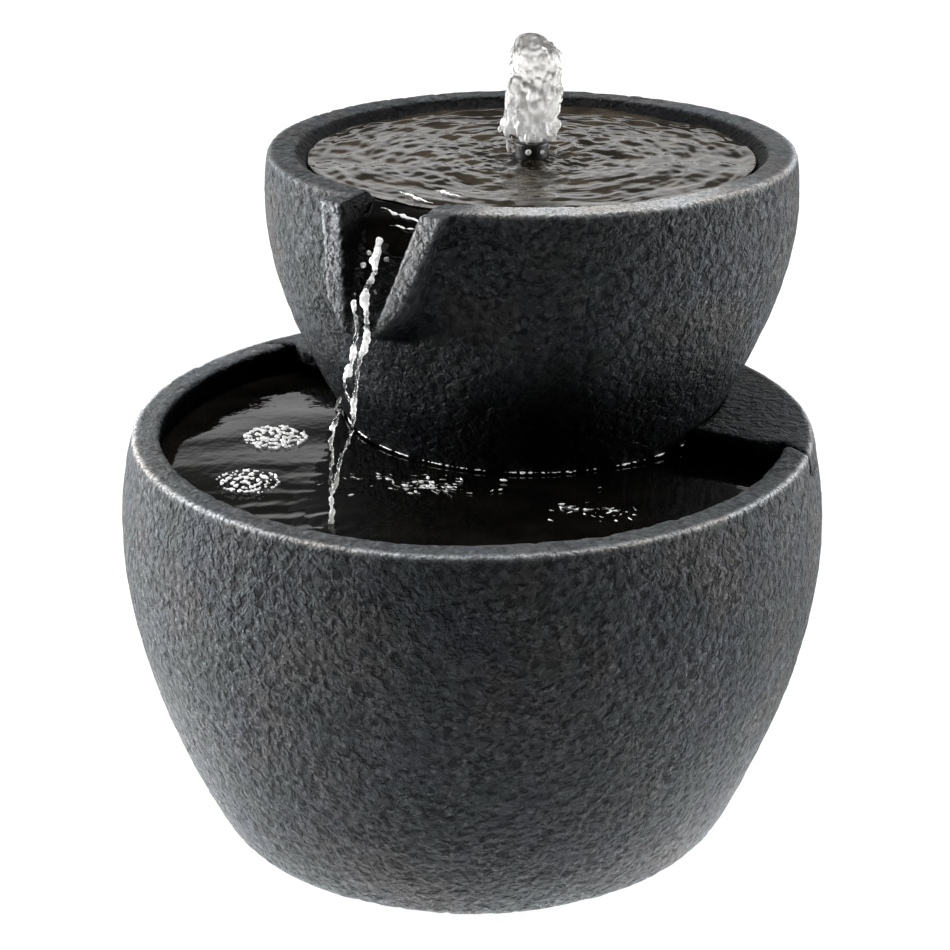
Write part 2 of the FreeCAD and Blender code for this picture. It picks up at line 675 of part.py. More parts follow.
def pump_volute():
    """Chamber with its inlet, the bridge that holds the shaft, and the outlet spigot."""
    chamber_front = VOLUTE_FACE + VOLUTE_FRONT
    spigot_radius = RISER_BORE - TUBE_CLEARANCE
    solid = block(PUMP_WIDTH, PUMP_HEIGHT, PUMP_CORNER, VOLUTE_FACE, VOLUTE_BACK)
    solid = solid.fuse(post(spigot_radius, PUMP_AXIS, PUMP_TOP + SPIGOT_LENGTH)).removeSplitter()
    solid = solid.cut(bar(CHAMBER_RADIUS, chamber_front, VOLUTE_BACK))
    solid = solid.cut(post(SPIGOT_BORE, PUMP_AXIS + IMPELLER_RADIUS, PUMP_TOP + SPIGOT_LENGTH))
    inlet = bar(INLET_RADIUS, VOLUTE_FACE, chamber_front)
    half = BRIDGE_WIDTH / 2
    inlet = inlet.cut(box((-half, half), (VOLUTE_FACE, chamber_front), (0, PUMP_TOP)))
    solid = solid.cut(inlet).cut(bar(SHAFT_RADIUS + TUBE_CLEARANCE, VOLUTE_FACE, chamber_front))
    return solid.cut(screw_holes(SCREW_RADIUS + SCREW_CLEARANCE, VOLUTE_FACE, VOLUTE_BACK))


def pump_screws():
    screws = []
    for x, z in SCREW_PLACES:
        shank = bar(SCREW_RADIUS, VOLUTE_FACE, MOTOR_FACE + SCREW_GRIP, x, z)
        head = bar(SCREW_HEAD_RADIUS, VOLUTE_FACE - SCREW_HEAD_HEIGHT, VOLUTE_FACE, x, z)
        screws.append(shank.fuse(head).removeSplitter())
    return Part.makeCompound(screws)


def pump_shaft():
    return bar(SHAFT_RADIUS, VOLUTE_FACE, SHAFT_BACK)


def impeller():
    """Curved blades on a disc, with the long hub that runs on the shaft and carries the magnet."""
    pump_centre = Vector(0, DISC_FRONT, PUMP_AXIS)
    arc_out = bar(BLADE_BEND + BLADE_THICKNESS / 2, HUB_FRONT, DISC_FRONT, BLADE_BEND)
    arc_in = bar(BLADE_BEND - BLADE_THICKNESS / 2, HUB_FRONT, DISC_FRONT, BLADE_BEND)
    blade = arc_out.cut(arc_in).common(bar(IMPELLER_RADIUS, HUB_FRONT, DISC_FRONT))
    span = (-IMPELLER_RADIUS, IMPELLER_RADIUS)
    blade = blade.common(box(span, (HUB_FRONT, DISC_FRONT), (PUMP_AXIS, PUMP_AXIS + IMPELLER_RADIUS)))
    disc = bar(IMPELLER_RADIUS, DISC_FRONT, DISC_FRONT + IMPELLER_DISC)
    hub = bar(HUB_RADIUS, HUB_FRONT, MAGNET_BACK)
    solid = disc.fuse([hub] + ring_of(blade, BLADE_COUNT, pump_centre, Vector(0, 1, 0))).removeSplitter()
    return solid.cut(bar(SHAFT_RADIUS + SHAFT_CLEARANCE, HUB_FRONT, MAGNET_BACK))


def rotor_magnet():
    ring = bar(MAGNET_RADIUS, MAGNET_FRONT, MAGNET_BACK)
    return ring.cut(bar(HUB_RADIUS + TUBE_CLEARANCE, MAGNET_FRONT, MAGNET_BACK))


def pump_feet():
    """Four suction feet under the motor."""
    lip = FOOT_HEIGHT / 3
    foot = turned_polygon([
        (0, LOWER_FLOOR + lip),
        (FOOT_RADIUS - lip, LOWER_FLOOR),
        (FOOT_RADIUS, LOWER_FLOOR),
        (FOOT_NECK_RADIUS, PUMP_BOTTOM - lip),
        (FOOT_NECK_RADIUS, PUMP_BOTTOM),
        (0, PUMP_BOTTOM),
    ])
    feet = []
    for side in (-1, 1):
        for y in (MOTOR_FACE + FOOT_INSET, MOTOR_BACK - FOOT_INSET):
            feet.append(foot.translated(Vector(side * (PUMP_WIDTH / 2 - FOOT_INSET), y, 0)))
    return Part.makeCompound(feet)


def pump_cable_gland():
    place = Vector(0, MOTOR_BACK, PUMP_AXIS)
    tip_radius = LEAD_RADIUS + GLAND_TIP_WALL
    taper = Part.makeCone(GLAND_RADIUS, tip_radius, GLAND_LENGTH, place, Vector(0, 1, 0))
    return taper.cut(bar(LEAD_RADIUS, MOTOR_BACK, MOTOR_BACK + GLAND_LENGTH))


def pump_strainer():
    """Slotted cover that laps over the volute, open round the outlet spigot."""
    inside_width = PUMP_WIDTH + 2 * STRAINER_CLEARANCE
    inside_height = PUMP_HEIGHT + 2 * STRAINER_CLEARANCE
    outside_width = inside_width + 2 * STRAINER_WALL
    outside_height = inside_height + 2 * STRAINER_WALL
    lap_end = VOLUTE_FACE + STRAINER_LAP
    outside = block(outside_width, outside_height, PUMP_CORNER, STRAINER_FACE, lap_end)
    inside = block(inside_width, inside_height, PUMP_CORNER, STRAINER_FACE + STRAINER_WALL, lap_end)
    solid = outside.cut(inside).cut(bar(DIAL_STEM_RADIUS + SHAFT_CLEARANCE, STRAINER_FACE, lap_end))
    spigot_across = (-RISER_RADIUS, RISER_RADIUS)
    spigot_along = (UPPER_SET_BACK - RISER_RADIUS, lap_end)
    spigot_space = box(spigot_across, spigot_along, (PUMP_AXIS, PUMP_TOP + SPIGOT_LENGTH))
    upright = (PUMP_AXIS - SLOT_HEIGHT / 2, PUMP_AXIS + SLOT_HEIGHT / 2)
    slots = []
    for side in (-1, 1):
        for index in range(SLOTS_PER_SIDE):
            x = side * (DIAL_RADIUS + SLOT_PITCH / 2 + index * SLOT_PITCH)
            across = (x - SLOT_WIDTH / 2, x + SLOT_WIDTH / 2)
            slots.append(box(across, (STRAINER_FACE, STRAINER_FACE + STRAINER_WALL), upright))
    return solid.cut(slots).cut(spigot_space)


def flow_dial():
    """Dial with a finger grip in front of the strainer and a head behind its wall."""
    inner_face = STRAINER_FACE + STRAINER_WALL + DIAL_END_PLAY
    disc = bar(DIAL_RADIUS, STRAINER_FACE - DIAL_THICKNESS, STRAINER_FACE)
    stem = bar(DIAL_STEM_RADIUS, STRAINER_FACE, inner_face)
    head = bar(DIAL_HEAD_RADIUS, inner_face, inner_face + DIAL_HEAD)
    half = DIAL_GRIP_WIDTH / 2
    front = STRAINER_FACE - DIAL_THICKNESS - DIAL_GRIP
    span = DIAL_RADIUS - half
    grip = box((-half, half), (front, STRAINER_FACE), (PUMP_AXIS - span, PUMP_AXIS + span))
    return disc.fuse([stem, head, grip]).removeSplitter()


def riser_tube():
    return tube(RISER_RADIUS, RISER_BORE, PUMP_TOP, RISER_TOP)


def hose_clip():
    """Band round the riser over the spigot, with its screw block."""
    low = PUMP_TOP + (SPIGOT_LENGTH - CLIP_HEIGHT) / 2
    outer = RISER_RADIUS + TUBE_CLEARANCE + CLIP_THICKNESS
    across = (-CLIP_BLOCK / 2, CLIP_BLOCK / 2)
    along = (UPPER_SET_BACK + RISER_RADIUS, UPPER_SET_BACK + outer + CLIP_BLOCK / 2)
    solid = post(outer, low, low + CLIP_HEIGHT).fuse(box(across, along, (low, low + CLIP_HEIGHT)))
    return solid.removeSplitter().cut(post(RISER_RADIUS + TUBE_CLEARANCE, low, low + CLIP_HEIGHT))


# Water

def lower_pool_water():
    """Pool round the pedestal, the deck's seat and the upper bowl's foot."""
    solid = lower_filled(WATER_GAP, POOL_LEVEL)
    solid = solid.cut(post(PEDESTAL_RADIUS + WATER_GAP, 0, UPPER_TOP))
    low = SEAT_BOTTOM - WATER_GAP
    cup_space = post(CUP_RADIUS + WATER_GAP, low, UPPER_TOP)
    cup_space = cup_space.common(deck_column(WATER_GAP, low, UPPER_TOP))
    return solid.cut(post(WATERLINE_RADIUS, low, UPPER_TOP)).cut(cup_space)


def upper_pool_water():
    """Water in the dish, clear of the flange, the standpipe and the nozzle."""
    solid = dish_filled(WATER_GAP, UPPER_LEVEL)
    solid = solid.cut(post(FLANGE_RADIUS + WATER_GAP, 0, FLANGE_TOP + WATER_GAP))
    return solid.cut(post(NOZZLE_RADIUS + WATER_GAP, 0, UPPER_TOP))


def water_jet():
    """Bubbling column: a short flared skirt round the cap and a domed top."""
    foot = Vector(0, 0, CAP_TOP + WATER_GAP)
    crown = foot + Vector(0, 0, JET_HEIGHT)
    dome_centre = crown - Vector(0, 0, JET_RADIUS)
    skirt = foot + Vector(JET_SKIRT_RADIUS, 0, 0)
    waist = foot + Vector(JET_RADIUS, 0, JET_SKIRT_RADIUS)
    dome_start = dome_centre + Vector(JET_RADIUS, 0, 0)
    dome_middle = dome_centre + Vector(1, 0, 1).normalize() * JET_RADIUS
    edges = [line(foot, skirt), line(skirt, waist), line(waist, dome_start)]
    edges.append(Part.Arc(dome_start, dome_middle, crown).toShape())
    edges.append(line(crown, foot))
    return on_upper_axis(turned(edges))


def stream_section(place, along, half_width, half_depth):
    """Ellipse across the stream at a place on its path."""
    across = Vector(1, 0, 0)
    up = across.cross(along).normalize()
    ellipse = Part.Ellipse(place + across * half_width, place + up * half_depth, place)
    return Part.Wire([ellipse.toShape()])


def water_stream():
    """Stream that slides down the channel and falls from its lip into the pool."""
    slide = Vector(0, LIP_Y - SILL_FRONT, LIP_Z - SILL_Z).normalize()
    lift = slide.cross(Vector(1, 0, 0)).normalize() * (STREAM_HALF_DEPTH + WATER_GAP)
    head = Vector(0, SILL_FRONT, SILL_Z) + lift
    lip = Vector(0, LIP_Y, LIP_Z) + lift
    sections = [
        stream_section(place, slide, STREAM_HALF_WIDTH, STREAM_HALF_DEPTH)
        for place in (head, (head + lip) / 2, lip)
    ]
    fall = lip.z - POOL_LEVEL - WATER_GAP
    quicken = (fall - STREAM_SLOPE * STREAM_REACH) / STREAM_REACH ** 2
    for step in range(1, STREAM_FALL_STEPS + 1):
        out = STREAM_REACH * step / STREAM_FALL_STEPS
        place = lip + Vector(0, -out, -STREAM_SLOPE * out - quicken * out ** 2)
        along = Vector(0, -1, -STREAM_SLOPE - 2 * quicken * out).normalize()
        if step == STREAM_FALL_STEPS:
            along = Vector(0, 0, -1)
        narrow = 1 - (1 - STREAM_FOOT_SHARE) * step / STREAM_FALL_STEPS
        sections.append(stream_section(place, along, STREAM_HALF_WIDTH * narrow, STREAM_HALF_DEPTH))
    return Part.makeLoft(sections, True, True)


PIECES = {
    "lower_bowl": lower_bowl(),
    "deck": deck(),
    "seat_pads": Part.makeCompound(pads(PAD_RADIUS, PAD_THICKNESS)),
    "pedestal": pedestal(),
    "cable_grommet": cable_grommet(),
    "upper_bowl": upper_bowl(),
    "bulkhead_fitting": bulkhead_fitting(),
    "bulkhead_gasket": bulkhead_gasket(),
    "bulkhead_nut": bulkhead_nut(),
    "riser_seal": riser_seal(),
    "standpipe": standpipe(),
    "nozzle_body": nozzle_body(),
    "nozzle_cap": nozzle_cap(),
    "pump_body": pump_body(),
    "pump_gasket": pump_gasket(),
    "pump_volute": pump_volute(),
    "pump_screws": pump_screws(),
    "pump_shaft": pump_shaft(),
    "impeller": impeller(),
    "rotor_magnet": rotor_magnet(),
    "pump_feet": pump_feet(),
    "pump_cable_gland": pump_cable_gland(),
    "pump_strainer": pump_strainer(),
    "flow_dial": flow_dial(),
    "riser_tube": riser_tube(),
    "hose_clip": hose_clip(),
    "lower_pool_water": lower_pool_water(),
    "upper_pool_water": upper_pool_water(),
    "water_jet": water_jet(),
    "water_stream": water_stream(),
}

os.makedirs("parts", exist_ok=True)
for name, piece in PIECES.items():
    piece.exportStep(f"parts/{name}.step")
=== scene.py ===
# %% [markdown]
# A garden fountain of two cast bowls. Water wells up from a jet in the small upper bowl, leaves it by a
# spout and falls into the large lower bowl. The hard pieces come from a imported model that never moves here,
# so the first step loads that model.

# %% Load the imported model
import json
import math
import random

import bmesh
import bpy
import numpy as np
from mathutils import Matrix, Vector, noise
from mathutils.kdtree import KDTree


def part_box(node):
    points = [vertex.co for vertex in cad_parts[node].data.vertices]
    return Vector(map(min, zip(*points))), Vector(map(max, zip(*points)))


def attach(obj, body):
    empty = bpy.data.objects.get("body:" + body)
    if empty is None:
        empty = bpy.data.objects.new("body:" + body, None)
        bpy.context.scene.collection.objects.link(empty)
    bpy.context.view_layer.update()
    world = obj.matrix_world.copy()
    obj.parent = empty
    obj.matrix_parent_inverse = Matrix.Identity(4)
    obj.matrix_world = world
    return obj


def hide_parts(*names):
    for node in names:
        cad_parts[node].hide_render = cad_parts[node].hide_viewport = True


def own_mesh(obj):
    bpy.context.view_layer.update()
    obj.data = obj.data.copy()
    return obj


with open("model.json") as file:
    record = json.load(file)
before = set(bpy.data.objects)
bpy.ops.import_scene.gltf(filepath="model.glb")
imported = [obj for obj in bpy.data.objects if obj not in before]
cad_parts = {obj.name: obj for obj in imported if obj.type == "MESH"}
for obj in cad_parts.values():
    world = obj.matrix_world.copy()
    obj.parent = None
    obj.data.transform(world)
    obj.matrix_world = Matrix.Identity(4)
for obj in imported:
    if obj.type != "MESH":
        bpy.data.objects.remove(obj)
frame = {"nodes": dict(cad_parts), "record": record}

scene = bpy.context.scene
nodes = frame["nodes"]
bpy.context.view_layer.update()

# %% [markdown]
# The photograph looks down at the fountain by 22 degrees, from its front right corner. A long lens keeps the
# upright sides nearly parallel. The camera's place and direction were measured on the two rims, whose
# ellipses give the tilt, and on the spout, which gives the angle round the bowl. Two directions on the
# floor, across the view and ahead, are kept for later.

# %% Camera
CAMERA_PLACE = Vector((0.6004, -0.9964, 0.6685))
CAMERA_AIM = Vector((-0.4775, 0.7948, -0.3746))
LENS_MM = 82.7
SENSOR_MM = 36.0
VIEW_ACROSS = Vector((0.857, 0.515))
VIEW_AHEAD = Vector((-0.515, 0.857))

lens = bpy.data.cameras.new("camera")
lens.lens = LENS_MM
lens.sensor_width = SENSOR_MM
lens.clip_end = 50.0
camera = bpy.data.objects.new("camera", lens)
camera.location = CAMERA_PLACE
camera.rotation_euler = CAMERA_AIM.to_track_quat("-Z", "Y").to_euler()
scene.collection.objects.link(camera)
scene.camera = camera
print("camera looks down by", round(math.degrees(math.asin(-CAMERA_AIM.normalized().z)), 1), "degrees")

# %% [markdown]
# Materials here are made of shader nodes. Wiring them one by one hides the idea, so a socket is wrapped in a
# small class that understands plus, minus and times. An expression such as 1 - mask then adds its own Math
# node. Every other node comes from one method, which sets the node's options first and its sockets after.

# %% Sockets that take part in Python expressions
class Wire:
    """An output socket. Sums and products of wires add Math nodes to the same tree."""

    def __init__(self, tree, socket):
        self.tree = tree
        self.socket = socket

    def port(self, name):
        """Another output of the node that this wire leaves."""
        return Wire(self.tree, shown_socket(self.socket.node.outputs, name))

    def math(self, operation, *values):
        return add_node(self.tree, "Math", dict(enumerate(values)), operation=operation)

    def __add__(self, other):
        return self.math("ADD", self, other)

    __radd__ = __add__

    def __sub__(self, other):
        return self.math("SUBTRACT", self, other)

    def __rsub__(self, other):
        return self.math("SUBTRACT", other, self)

    def __mul__(self, other):
        return self.math("MULTIPLY", self, other)

    __rmul__ = __mul__

    def between(self, low, high):
        """0 below low, 1 above high, and a smooth step from one to the other."""
        inputs = {"Value": self, "From Min": low, "From Max": high}
        return add_node(self.tree, "MapRange", inputs, interpolation_type="SMOOTHSTEP")


def shown_socket(sockets, key):
    """A socket by name or number, among those that the node's options leave in use."""
    shown = [socket for socket in sockets if socket.enabled]
    if isinstance(key, int):
        return shown[key]
    return next(socket for socket in shown if socket.name == key)


def add_node(tree, kind, inputs=None, **options):
    """Adds a node and returns its first output. Inputs are values or wires, by socket name or number."""
    node = tree.nodes.new("ShaderNode" + kind)
    for name, value in options.items():
        setattr(node, name, value)
    for key, value in (inputs or {}).items():
        socket = shown_socket(node.inputs, key)
        if isinstance(value, Wire):
            tree.links.new(value.socket, socket)
        else:
            socket.default_value = value
    return Wire(tree, shown_socket(node.outputs, 0)) if node.outputs else None


print("shader helpers ready")

# %% [markdown]
# A few patterns come back in the finishes: soft noise, cells, and a mix of two colours. They read the
# object's own coordinates, in metres, so a pattern stays on its piece when that piece is lifted. A noise
# scale of 500 makes grains of about 2 mm.

# %% Patterns that the finishes share
class Finish:
    """A procedural material with the patterns that this fountain's surfaces need."""

    def __init__(self, name):
        self.material = bpy.data.materials.new(name)
        self.material.use_nodes = True
        self.tree = self.material.node_tree
        self.tree.nodes.clear()
        self.place = self.node("TexCoord").port("Object")
        self.surface = self.node("NewGeometry")

    def node(self, kind, inputs=None, **options):
        return add_node(self.tree, kind, inputs, **options)

    def grain(self, scale, detail=4.0, roughness=0.55, place=None):
        """Soft noise from 0 to 1."""
        inputs = {"Vector": place or self.place, "Scale": scale, "Detail": detail, "Roughness": roughness}
        return self.node("TexNoise", inputs)

    def cells(self, scale, place=None):
        """Distance to the middle of the nearest cell."""
        return self.node("TexVoronoi", {"Vector": place or self.place, "Scale": scale})

    def blend(self, mask, low, high):
        """A colour that goes from low to high as the mask goes from 0 to 1."""
        inputs = {"Factor": mask, "A": low, "B": high}
        return self.node("Mix", inputs, data_type="RGBA")

    def bump(self, height, distance, strength=1.0):
        inputs = {"Height": height, "Distance": distance, "Strength": strength}
        return self.node("Bump", inputs)

    def marked(self, name):
        """The number that a mesh keeps for each of its points under a name."""
        return self.node("Attribute", attribute_name=name).port("Fac")

    def mix(self, share, first, second):
        """A shader that goes from the first to the second as the share goes from 0 to 1."""
        return self.node("MixShader", {0: share, 1: first, 2: second})

    def upward(self):
        """How far the surface faces up: 1 on a level top, 0 on an upright wall."""
        normal = self.surface.port("Normal")
        return self.node("SeparateXYZ", {0: normal}).port("Z")

    def shader(self, **inputs):
        named = {name.replace("_", " "): value for name, value in inputs.items()}
        return self.node("BsdfPrincipled", named)

    def close(self, shader):
        self.node("OutputMaterial", {"Surface": shader})
        print("finish", self.material.name, "has", len(self.tree.nodes), "nodes")
        return self.material


def rgb(red, green, blue):
    return (red, green, blue, 1.0)


print("patterns ready")

# %% [markdown]
# A product photograph of a dark object is taken against a white backdrop, in a room that is dark behind the
# camera. The bowls' edges then mirror the backdrop and stand out pale, their middles stay dark, and the water
# mirrors the white. The world below is that room: the camera sees plain white, and all other rays find a
# bright wall behind the object that fades upwards and towards the front.

# %% World
BACKDROP_SIDE = (*VIEW_AHEAD, 0.0)
BACKDROP_EDGE = (-0.15, 0.55)
WALL_TOP = (0.29, 0.43)
WALL_FADE = 0.90
DIM_ROOM = 0.016

world = bpy.data.worlds.new("studio")
world.use_nodes = True
scene.world = world
room = world.node_tree
room.nodes.clear()

ray = add_node(room, "TexCoord").port("Generated")
sides = {0: ray, 1: BACKDROP_SIDE}
behind = add_node(room, "VectorMath", sides, operation="DOT_PRODUCT").port("Value")
height = add_node(room, "SeparateXYZ", {0: ray}).port("Z")
wall = behind.between(*BACKDROP_EDGE) * (1 - WALL_FADE * height.between(*WALL_TOP))
white_wall = add_node(room, "Background", {"Color": rgb(1, 1, 1), "Strength": 1.0})
dim_side = add_node(room, "Background", {"Color": rgb(1, 1, 1), "Strength": DIM_ROOM})
felt = add_node(room, "MixShader", {0: wall, 1: dim_side, 2: white_wall})
camera_ray = add_node(room, "LightPath").port("Is Camera Ray")
sky = add_node(room, "MixShader", {0: camera_ray, 1: felt, 2: white_wall})
add_node(room, "OutputWorld", {"Surface": sky})
print("world with", len(room.nodes), "nodes")

# %% [markdown]
# The floor is pale paper that keeps the object's shadow. Most of what the camera sees of it is an even white
# glow, as on a lit table, so the shadow stays faint. The table's glow also lights the lower bowl from below,
# but only from close by: from a spot at its left, a weaker one at its right, and a ring round its foot.

# %% Floor
FLOOR_SIZE = 14.0
FLOOR_DROP = 0.0005
WHITE_GLOW = 1.15
FLOOR_GLOW = 0.84
FAR_FLOOR = (0.5, 1.1)
TABLE_GLOW = 5.2
LEFT_SPOT = (-0.180, -0.125, 0.0)
LEFT_EDGE = (0.06, 0.185)
RIGHT_SPOT = (0.205, 0.015, 0.0)
RIGHT_EDGE = (0.05, 0.16)
RIGHT_SHARE = 0.7
FOOT_EDGE = (0.158, 0.195)
FOOT_SHARE = 0.9

floor_finish = Finish("pale_floor")
paper = floor_finish.blend(floor_finish.grain(9.0), rgb(0.78, 0.78, 0.78), rgb(0.84, 0.84, 0.84))
matt = floor_finish.shader(Base_Color=paper, Roughness=0.9)
glow = floor_finish.node("Emission", {"Color": rgb(1, 1, 1), "Strength": WHITE_GLOW})
table = floor_finish.node("Emission", {"Color": rgb(1, 1, 1), "Strength": TABLE_GLOW})


def floor_reach(middle):
    """Distance on the floor from a place."""
    places = {0: floor_finish.place, 1: middle}
    return floor_finish.node("VectorMath", places, operation="DISTANCE").port("Value")


reach = floor_reach((0.0, 0.0, 0.0))
left_light = 1 - floor_reach(LEFT_SPOT).between(*LEFT_EDGE)
right_light = RIGHT_SHARE - RIGHT_SHARE * floor_reach(RIGHT_SPOT).between(*RIGHT_EDGE)
foot_light = FOOT_SHARE - FOOT_SHARE * reach.between(*FOOT_EDGE)
near = left_light.math("MAXIMUM", left_light, right_light.math("MAXIMUM", right_light, foot_light))
path = floor_finish.node("LightPath")
seen = path.math("MAXIMUM", path.port("Is Camera Ray"), path.port("Is Transmission Ray"))
even = FLOOR_GLOW + (1 - FLOOR_GLOW) * reach.between(*FAR_FLOOR)
seen_floor = floor_finish.mix(even, matt, glow)
felt_floor = floor_finish.mix(near, matt, table)
floor_finish.close(floor_finish.mix(seen, felt_floor, seen_floor))

bpy.ops.mesh.primitive_grid_add(
    x_subdivisions=8, y_subdivisions=8, size=FLOOR_SIZE, location=(0, 0, -FLOOR_DROP)
)
floor = bpy.context.object
floor.name = "floor"
floor.data.materials.append(floor_finish.material)
print("floor of", FLOOR_SIZE, "m")

# %% [markdown]
# Soft boxes are area lamps. Two tall ones stand low at the left and right, a little behind the bowls as the
# camera sees them, so their light rakes over the rough walls. A weak one overhead opens up the rims, and a
# very weak one in front lifts the darkest shadows. All face one place. Each row gives a box's name, place,
# size in metres and power in watts.

# %% Soft boxes
LIT_PLACE = Vector((0, 0, 0.22))
SOFT_BOXES = [
    ("left_box", (-1.27, -0.52, 0.26), (0.9, 1.1), 73.0),
    ("right_box", (1.05, 0.95, 0.32), (0.9, 1.1), 35.0),
    ("top_box", (-0.12, 0.30, 1.65), (0.6, 0.6), 18.0),
    ("front_box", (0.20, -1.80, 1.30), (1.4, 1.0), 0.3),
]

for name, place, size, watts in SOFT_BOXES:
    lamp = bpy.data.lights.new(name, "AREA")
    lamp.shape = "RECTANGLE"
    lamp.size, lamp.size_y = size
    lamp.energy = watts
    box = bpy.data.objects.new(name, lamp)
    box.location = place
    box.rotation_euler = (LIT_PLACE - Vector(place)).to_track_quat("-Z", "Y").to_euler()
    scene.collection.objects.link(box)
print(len(SOFT_BOXES), "soft boxes")

# %% [markdown]
# The cast pieces need an even skin before their surface can be roughened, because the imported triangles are
# long and thin. A voxel remesh lays quads of one size over a closed shape and rounds its edges a little, as
# a casting's edges are. The same tool welds many overlapping balls into one skin, which makes good water.

# %% Mesh helpers
def new_piece(name, mesh, body):
    piece = bpy.data.objects.new(name, mesh)
    scene.collection.objects.link(piece)
    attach(piece, body)
    return piece


def even_skin(mesh, voxel, rounds):
    """A copy of a closed mesh covered in quads of one size, smoothed for some rounds."""
    holder = bpy.data.objects.new("holder", mesh.copy())
    scene.collection.objects.link(holder)
    remesh = holder.modifiers.new("even_quads", "REMESH")
    remesh.mode = "VOXEL"
    remesh.voxel_size = voxel
    remesh.use_smooth_shade = True
    if rounds:
        soften = holder.modifiers.new("soften", "SMOOTH")
        soften.factor = 0.5
        soften.iterations = rounds
    ready = holder.evaluated_get(bpy.context.evaluated_depsgraph_get())
    skin = bpy.data.meshes.new_from_object(ready)
    bpy.data.objects.remove(holder)
    skin.materials.clear()
    return skin


def rows_of(data, field):
    values = np.empty(len(data) * 3)
    data.foreach_get(field, values)
    return values.reshape(-1, 3)


def points_of(mesh):
    return rows_of(mesh.vertices, "co")


def normals_of(mesh):
    return rows_of(mesh.vertex_normals, "vector")


def put_points(mesh, points):
    mesh.vertices.foreach_set("co", points.astype(np.float32).ravel())
    mesh.update()


def push_out(mesh, height):
    """Moves each point along its normal by a height worked out from its place."""
    points = points_of(mesh)
    heights = np.array([height(Vector(point)) for point in points])
    put_points(mesh, points + normals_of(mesh) * heights[:, None])


def mark(mesh, name, values):
    """Keeps one number per point, which a finish can read as an attribute."""
    attribute = mesh.attributes.new(name, "FLOAT", "POINT")
    attribute.data.foreach_set("value", np.asarray(values, np.float32))


def smooth_step(values, low, high):
    share = np.clip((values - low) / (high - low), 0, 1)
    return share * share * (3 - 2 * share)


print("mesh helpers ready")

# %% [markdown]
# The bowls are cast from a stone-like mix in charcoal. The surface is pitted all over at 2 to 5 mm. Painted
# shade makes it nearly black in its crevices and between its knobs, and painted highlights give pale grey
# grain tops and specks. Cells and noise tell tops from crevices. Two marks that a later step leaves on the
# mesh do the rest. One lays pale lime over the dry stone, partly real wear and partly painted highlight. The
# other goes over to a second shader, darker and smoother, for wet stone, the upper bowl's darker foot and
# painted shade under the spout.

# %% Cast stone finish
def cast_stone_finish():
    finish = Finish("cast_stone")
    wet_and_shade = finish.marked("wet_and_shade")
    wear_and_highlight = finish.marked("wear_and_highlight")
    clouds = finish.grain(14.0, 3.0)
    mottle = finish.grain(75.0, 5.0, 0.6)
    lumps = finish.grain(210.0, 3.0, 0.55)
    fine = finish.grain(620.0, 5.0, 0.7)
    bend = finish.grain(170.0, 2.0).port("Color")
    bent = {0: bend, 1: (0.007, 0.007, 0.007), 2: finish.place}
    crooked = finish.node("VectorMath", bent, operation="MULTIPLY_ADD")
    knobs = 1 - finish.cells(250.0, crooked).between(0.08, 0.60)
    worms = finish.grain(235.0, 2.0, 0.5, crooked)
    shaded_crevices = 1 - worms.between(0.37, 0.48)
    patches = finish.grain(32.0, 2.0).between(0.40, 0.62)
    level = finish.upward().between(0.70, 0.96)

    green = finish.grain(23.0, 2.0).between(0.38, 0.60)
    cool = finish.blend(green, rgb(0.048, 0.056, 0.069), rgb(0.050, 0.061, 0.059))
    warm = finish.grain(17.0, 2.0).between(0.48, 0.68)
    tint = finish.blend(warm, cool, rgb(0.068, 0.062, 0.060))
    charcoal = finish.blend(clouds.between(0.35, 0.65) * 0.5, tint, rgb(0.084, 0.088, 0.095))
    # painted highlight: grain tops that stand out in the bumps are paler
    highlit_tops = knobs * lumps.between(0.40, 0.66) * (0.40 + 0.60 * fine.between(0.40, 0.62))
    dry = finish.blend(highlit_tops * (0.30 + 0.70 * patches), charcoal, rgb(0.145, 0.154, 0.168))
    # painted highlights: small pale specks stand for glints off the grains
    glint_specks = finish.grain(900.0, 2.0).between(0.58, 0.68) * (0.15 + 0.85 * patches)
    dry = finish.blend(glint_specks * 0.50, dry, rgb(0.28, 0.29, 0.30))
    # painted shade: darker between the knobs
    dry = finish.blend((1 - knobs.between(0.0, 0.45)) * 0.40, dry, rgb(0.014, 0.016, 0.019))
    # painted shade: nearly black in the crevices of the bumps
    dry = finish.blend(shaded_crevices * (0.62 + 0.30 * patches), dry, rgb(0.009, 0.010, 0.012))
    # pale lime, partly real wear and partly painted highlight
    lime_and_highlight = finish.blend(clouds.between(0.46, 0.62), rgb(0.72, 0.75, 0.78), rgb(0.66, 0.63, 0.60))
    dry = finish.blend(wear_and_highlight * (0.30 + 0.70 * fine.between(0.38, 0.58)), dry, lime_and_highlight)
    # the darker shader is paler on grain tops too, as painted highlight
    soaked_and_shaded = finish.blend(highlit_tops, rgb(0.0030, 0.0032, 0.0038), rgb(0.0100, 0.0105, 0.0120))

    relief = knobs * 0.14 + lumps * 0.42 + fine * 0.24 + mottle * 0.85 + worms.between(0.32, 0.62) * 0.48
    normal = finish.bump(relief * (1 - 0.5 * wet_and_shade) * (1 - 0.55 * level), 0.0029, 1.0)
    dull = 0.60 + 0.2 * fine
    dry_stone = finish.shader(Base_Color=dry, Roughness=dull, Specular_IOR_Level=0.18, Normal=normal)
    # darker, smoother stone for wet places, the upper bowl's darker foot and painted shade
    wet_and_shaded_stone = finish.shader(Base_Color=soaked_and_shaded, Roughness=0.45, Specular_IOR_Level=0.06, Normal=normal)
    return finish.close(finish.mix(wet_and_shade, dry_stone, wet_and_shaded_stone))


stone = cast_stone_finish()

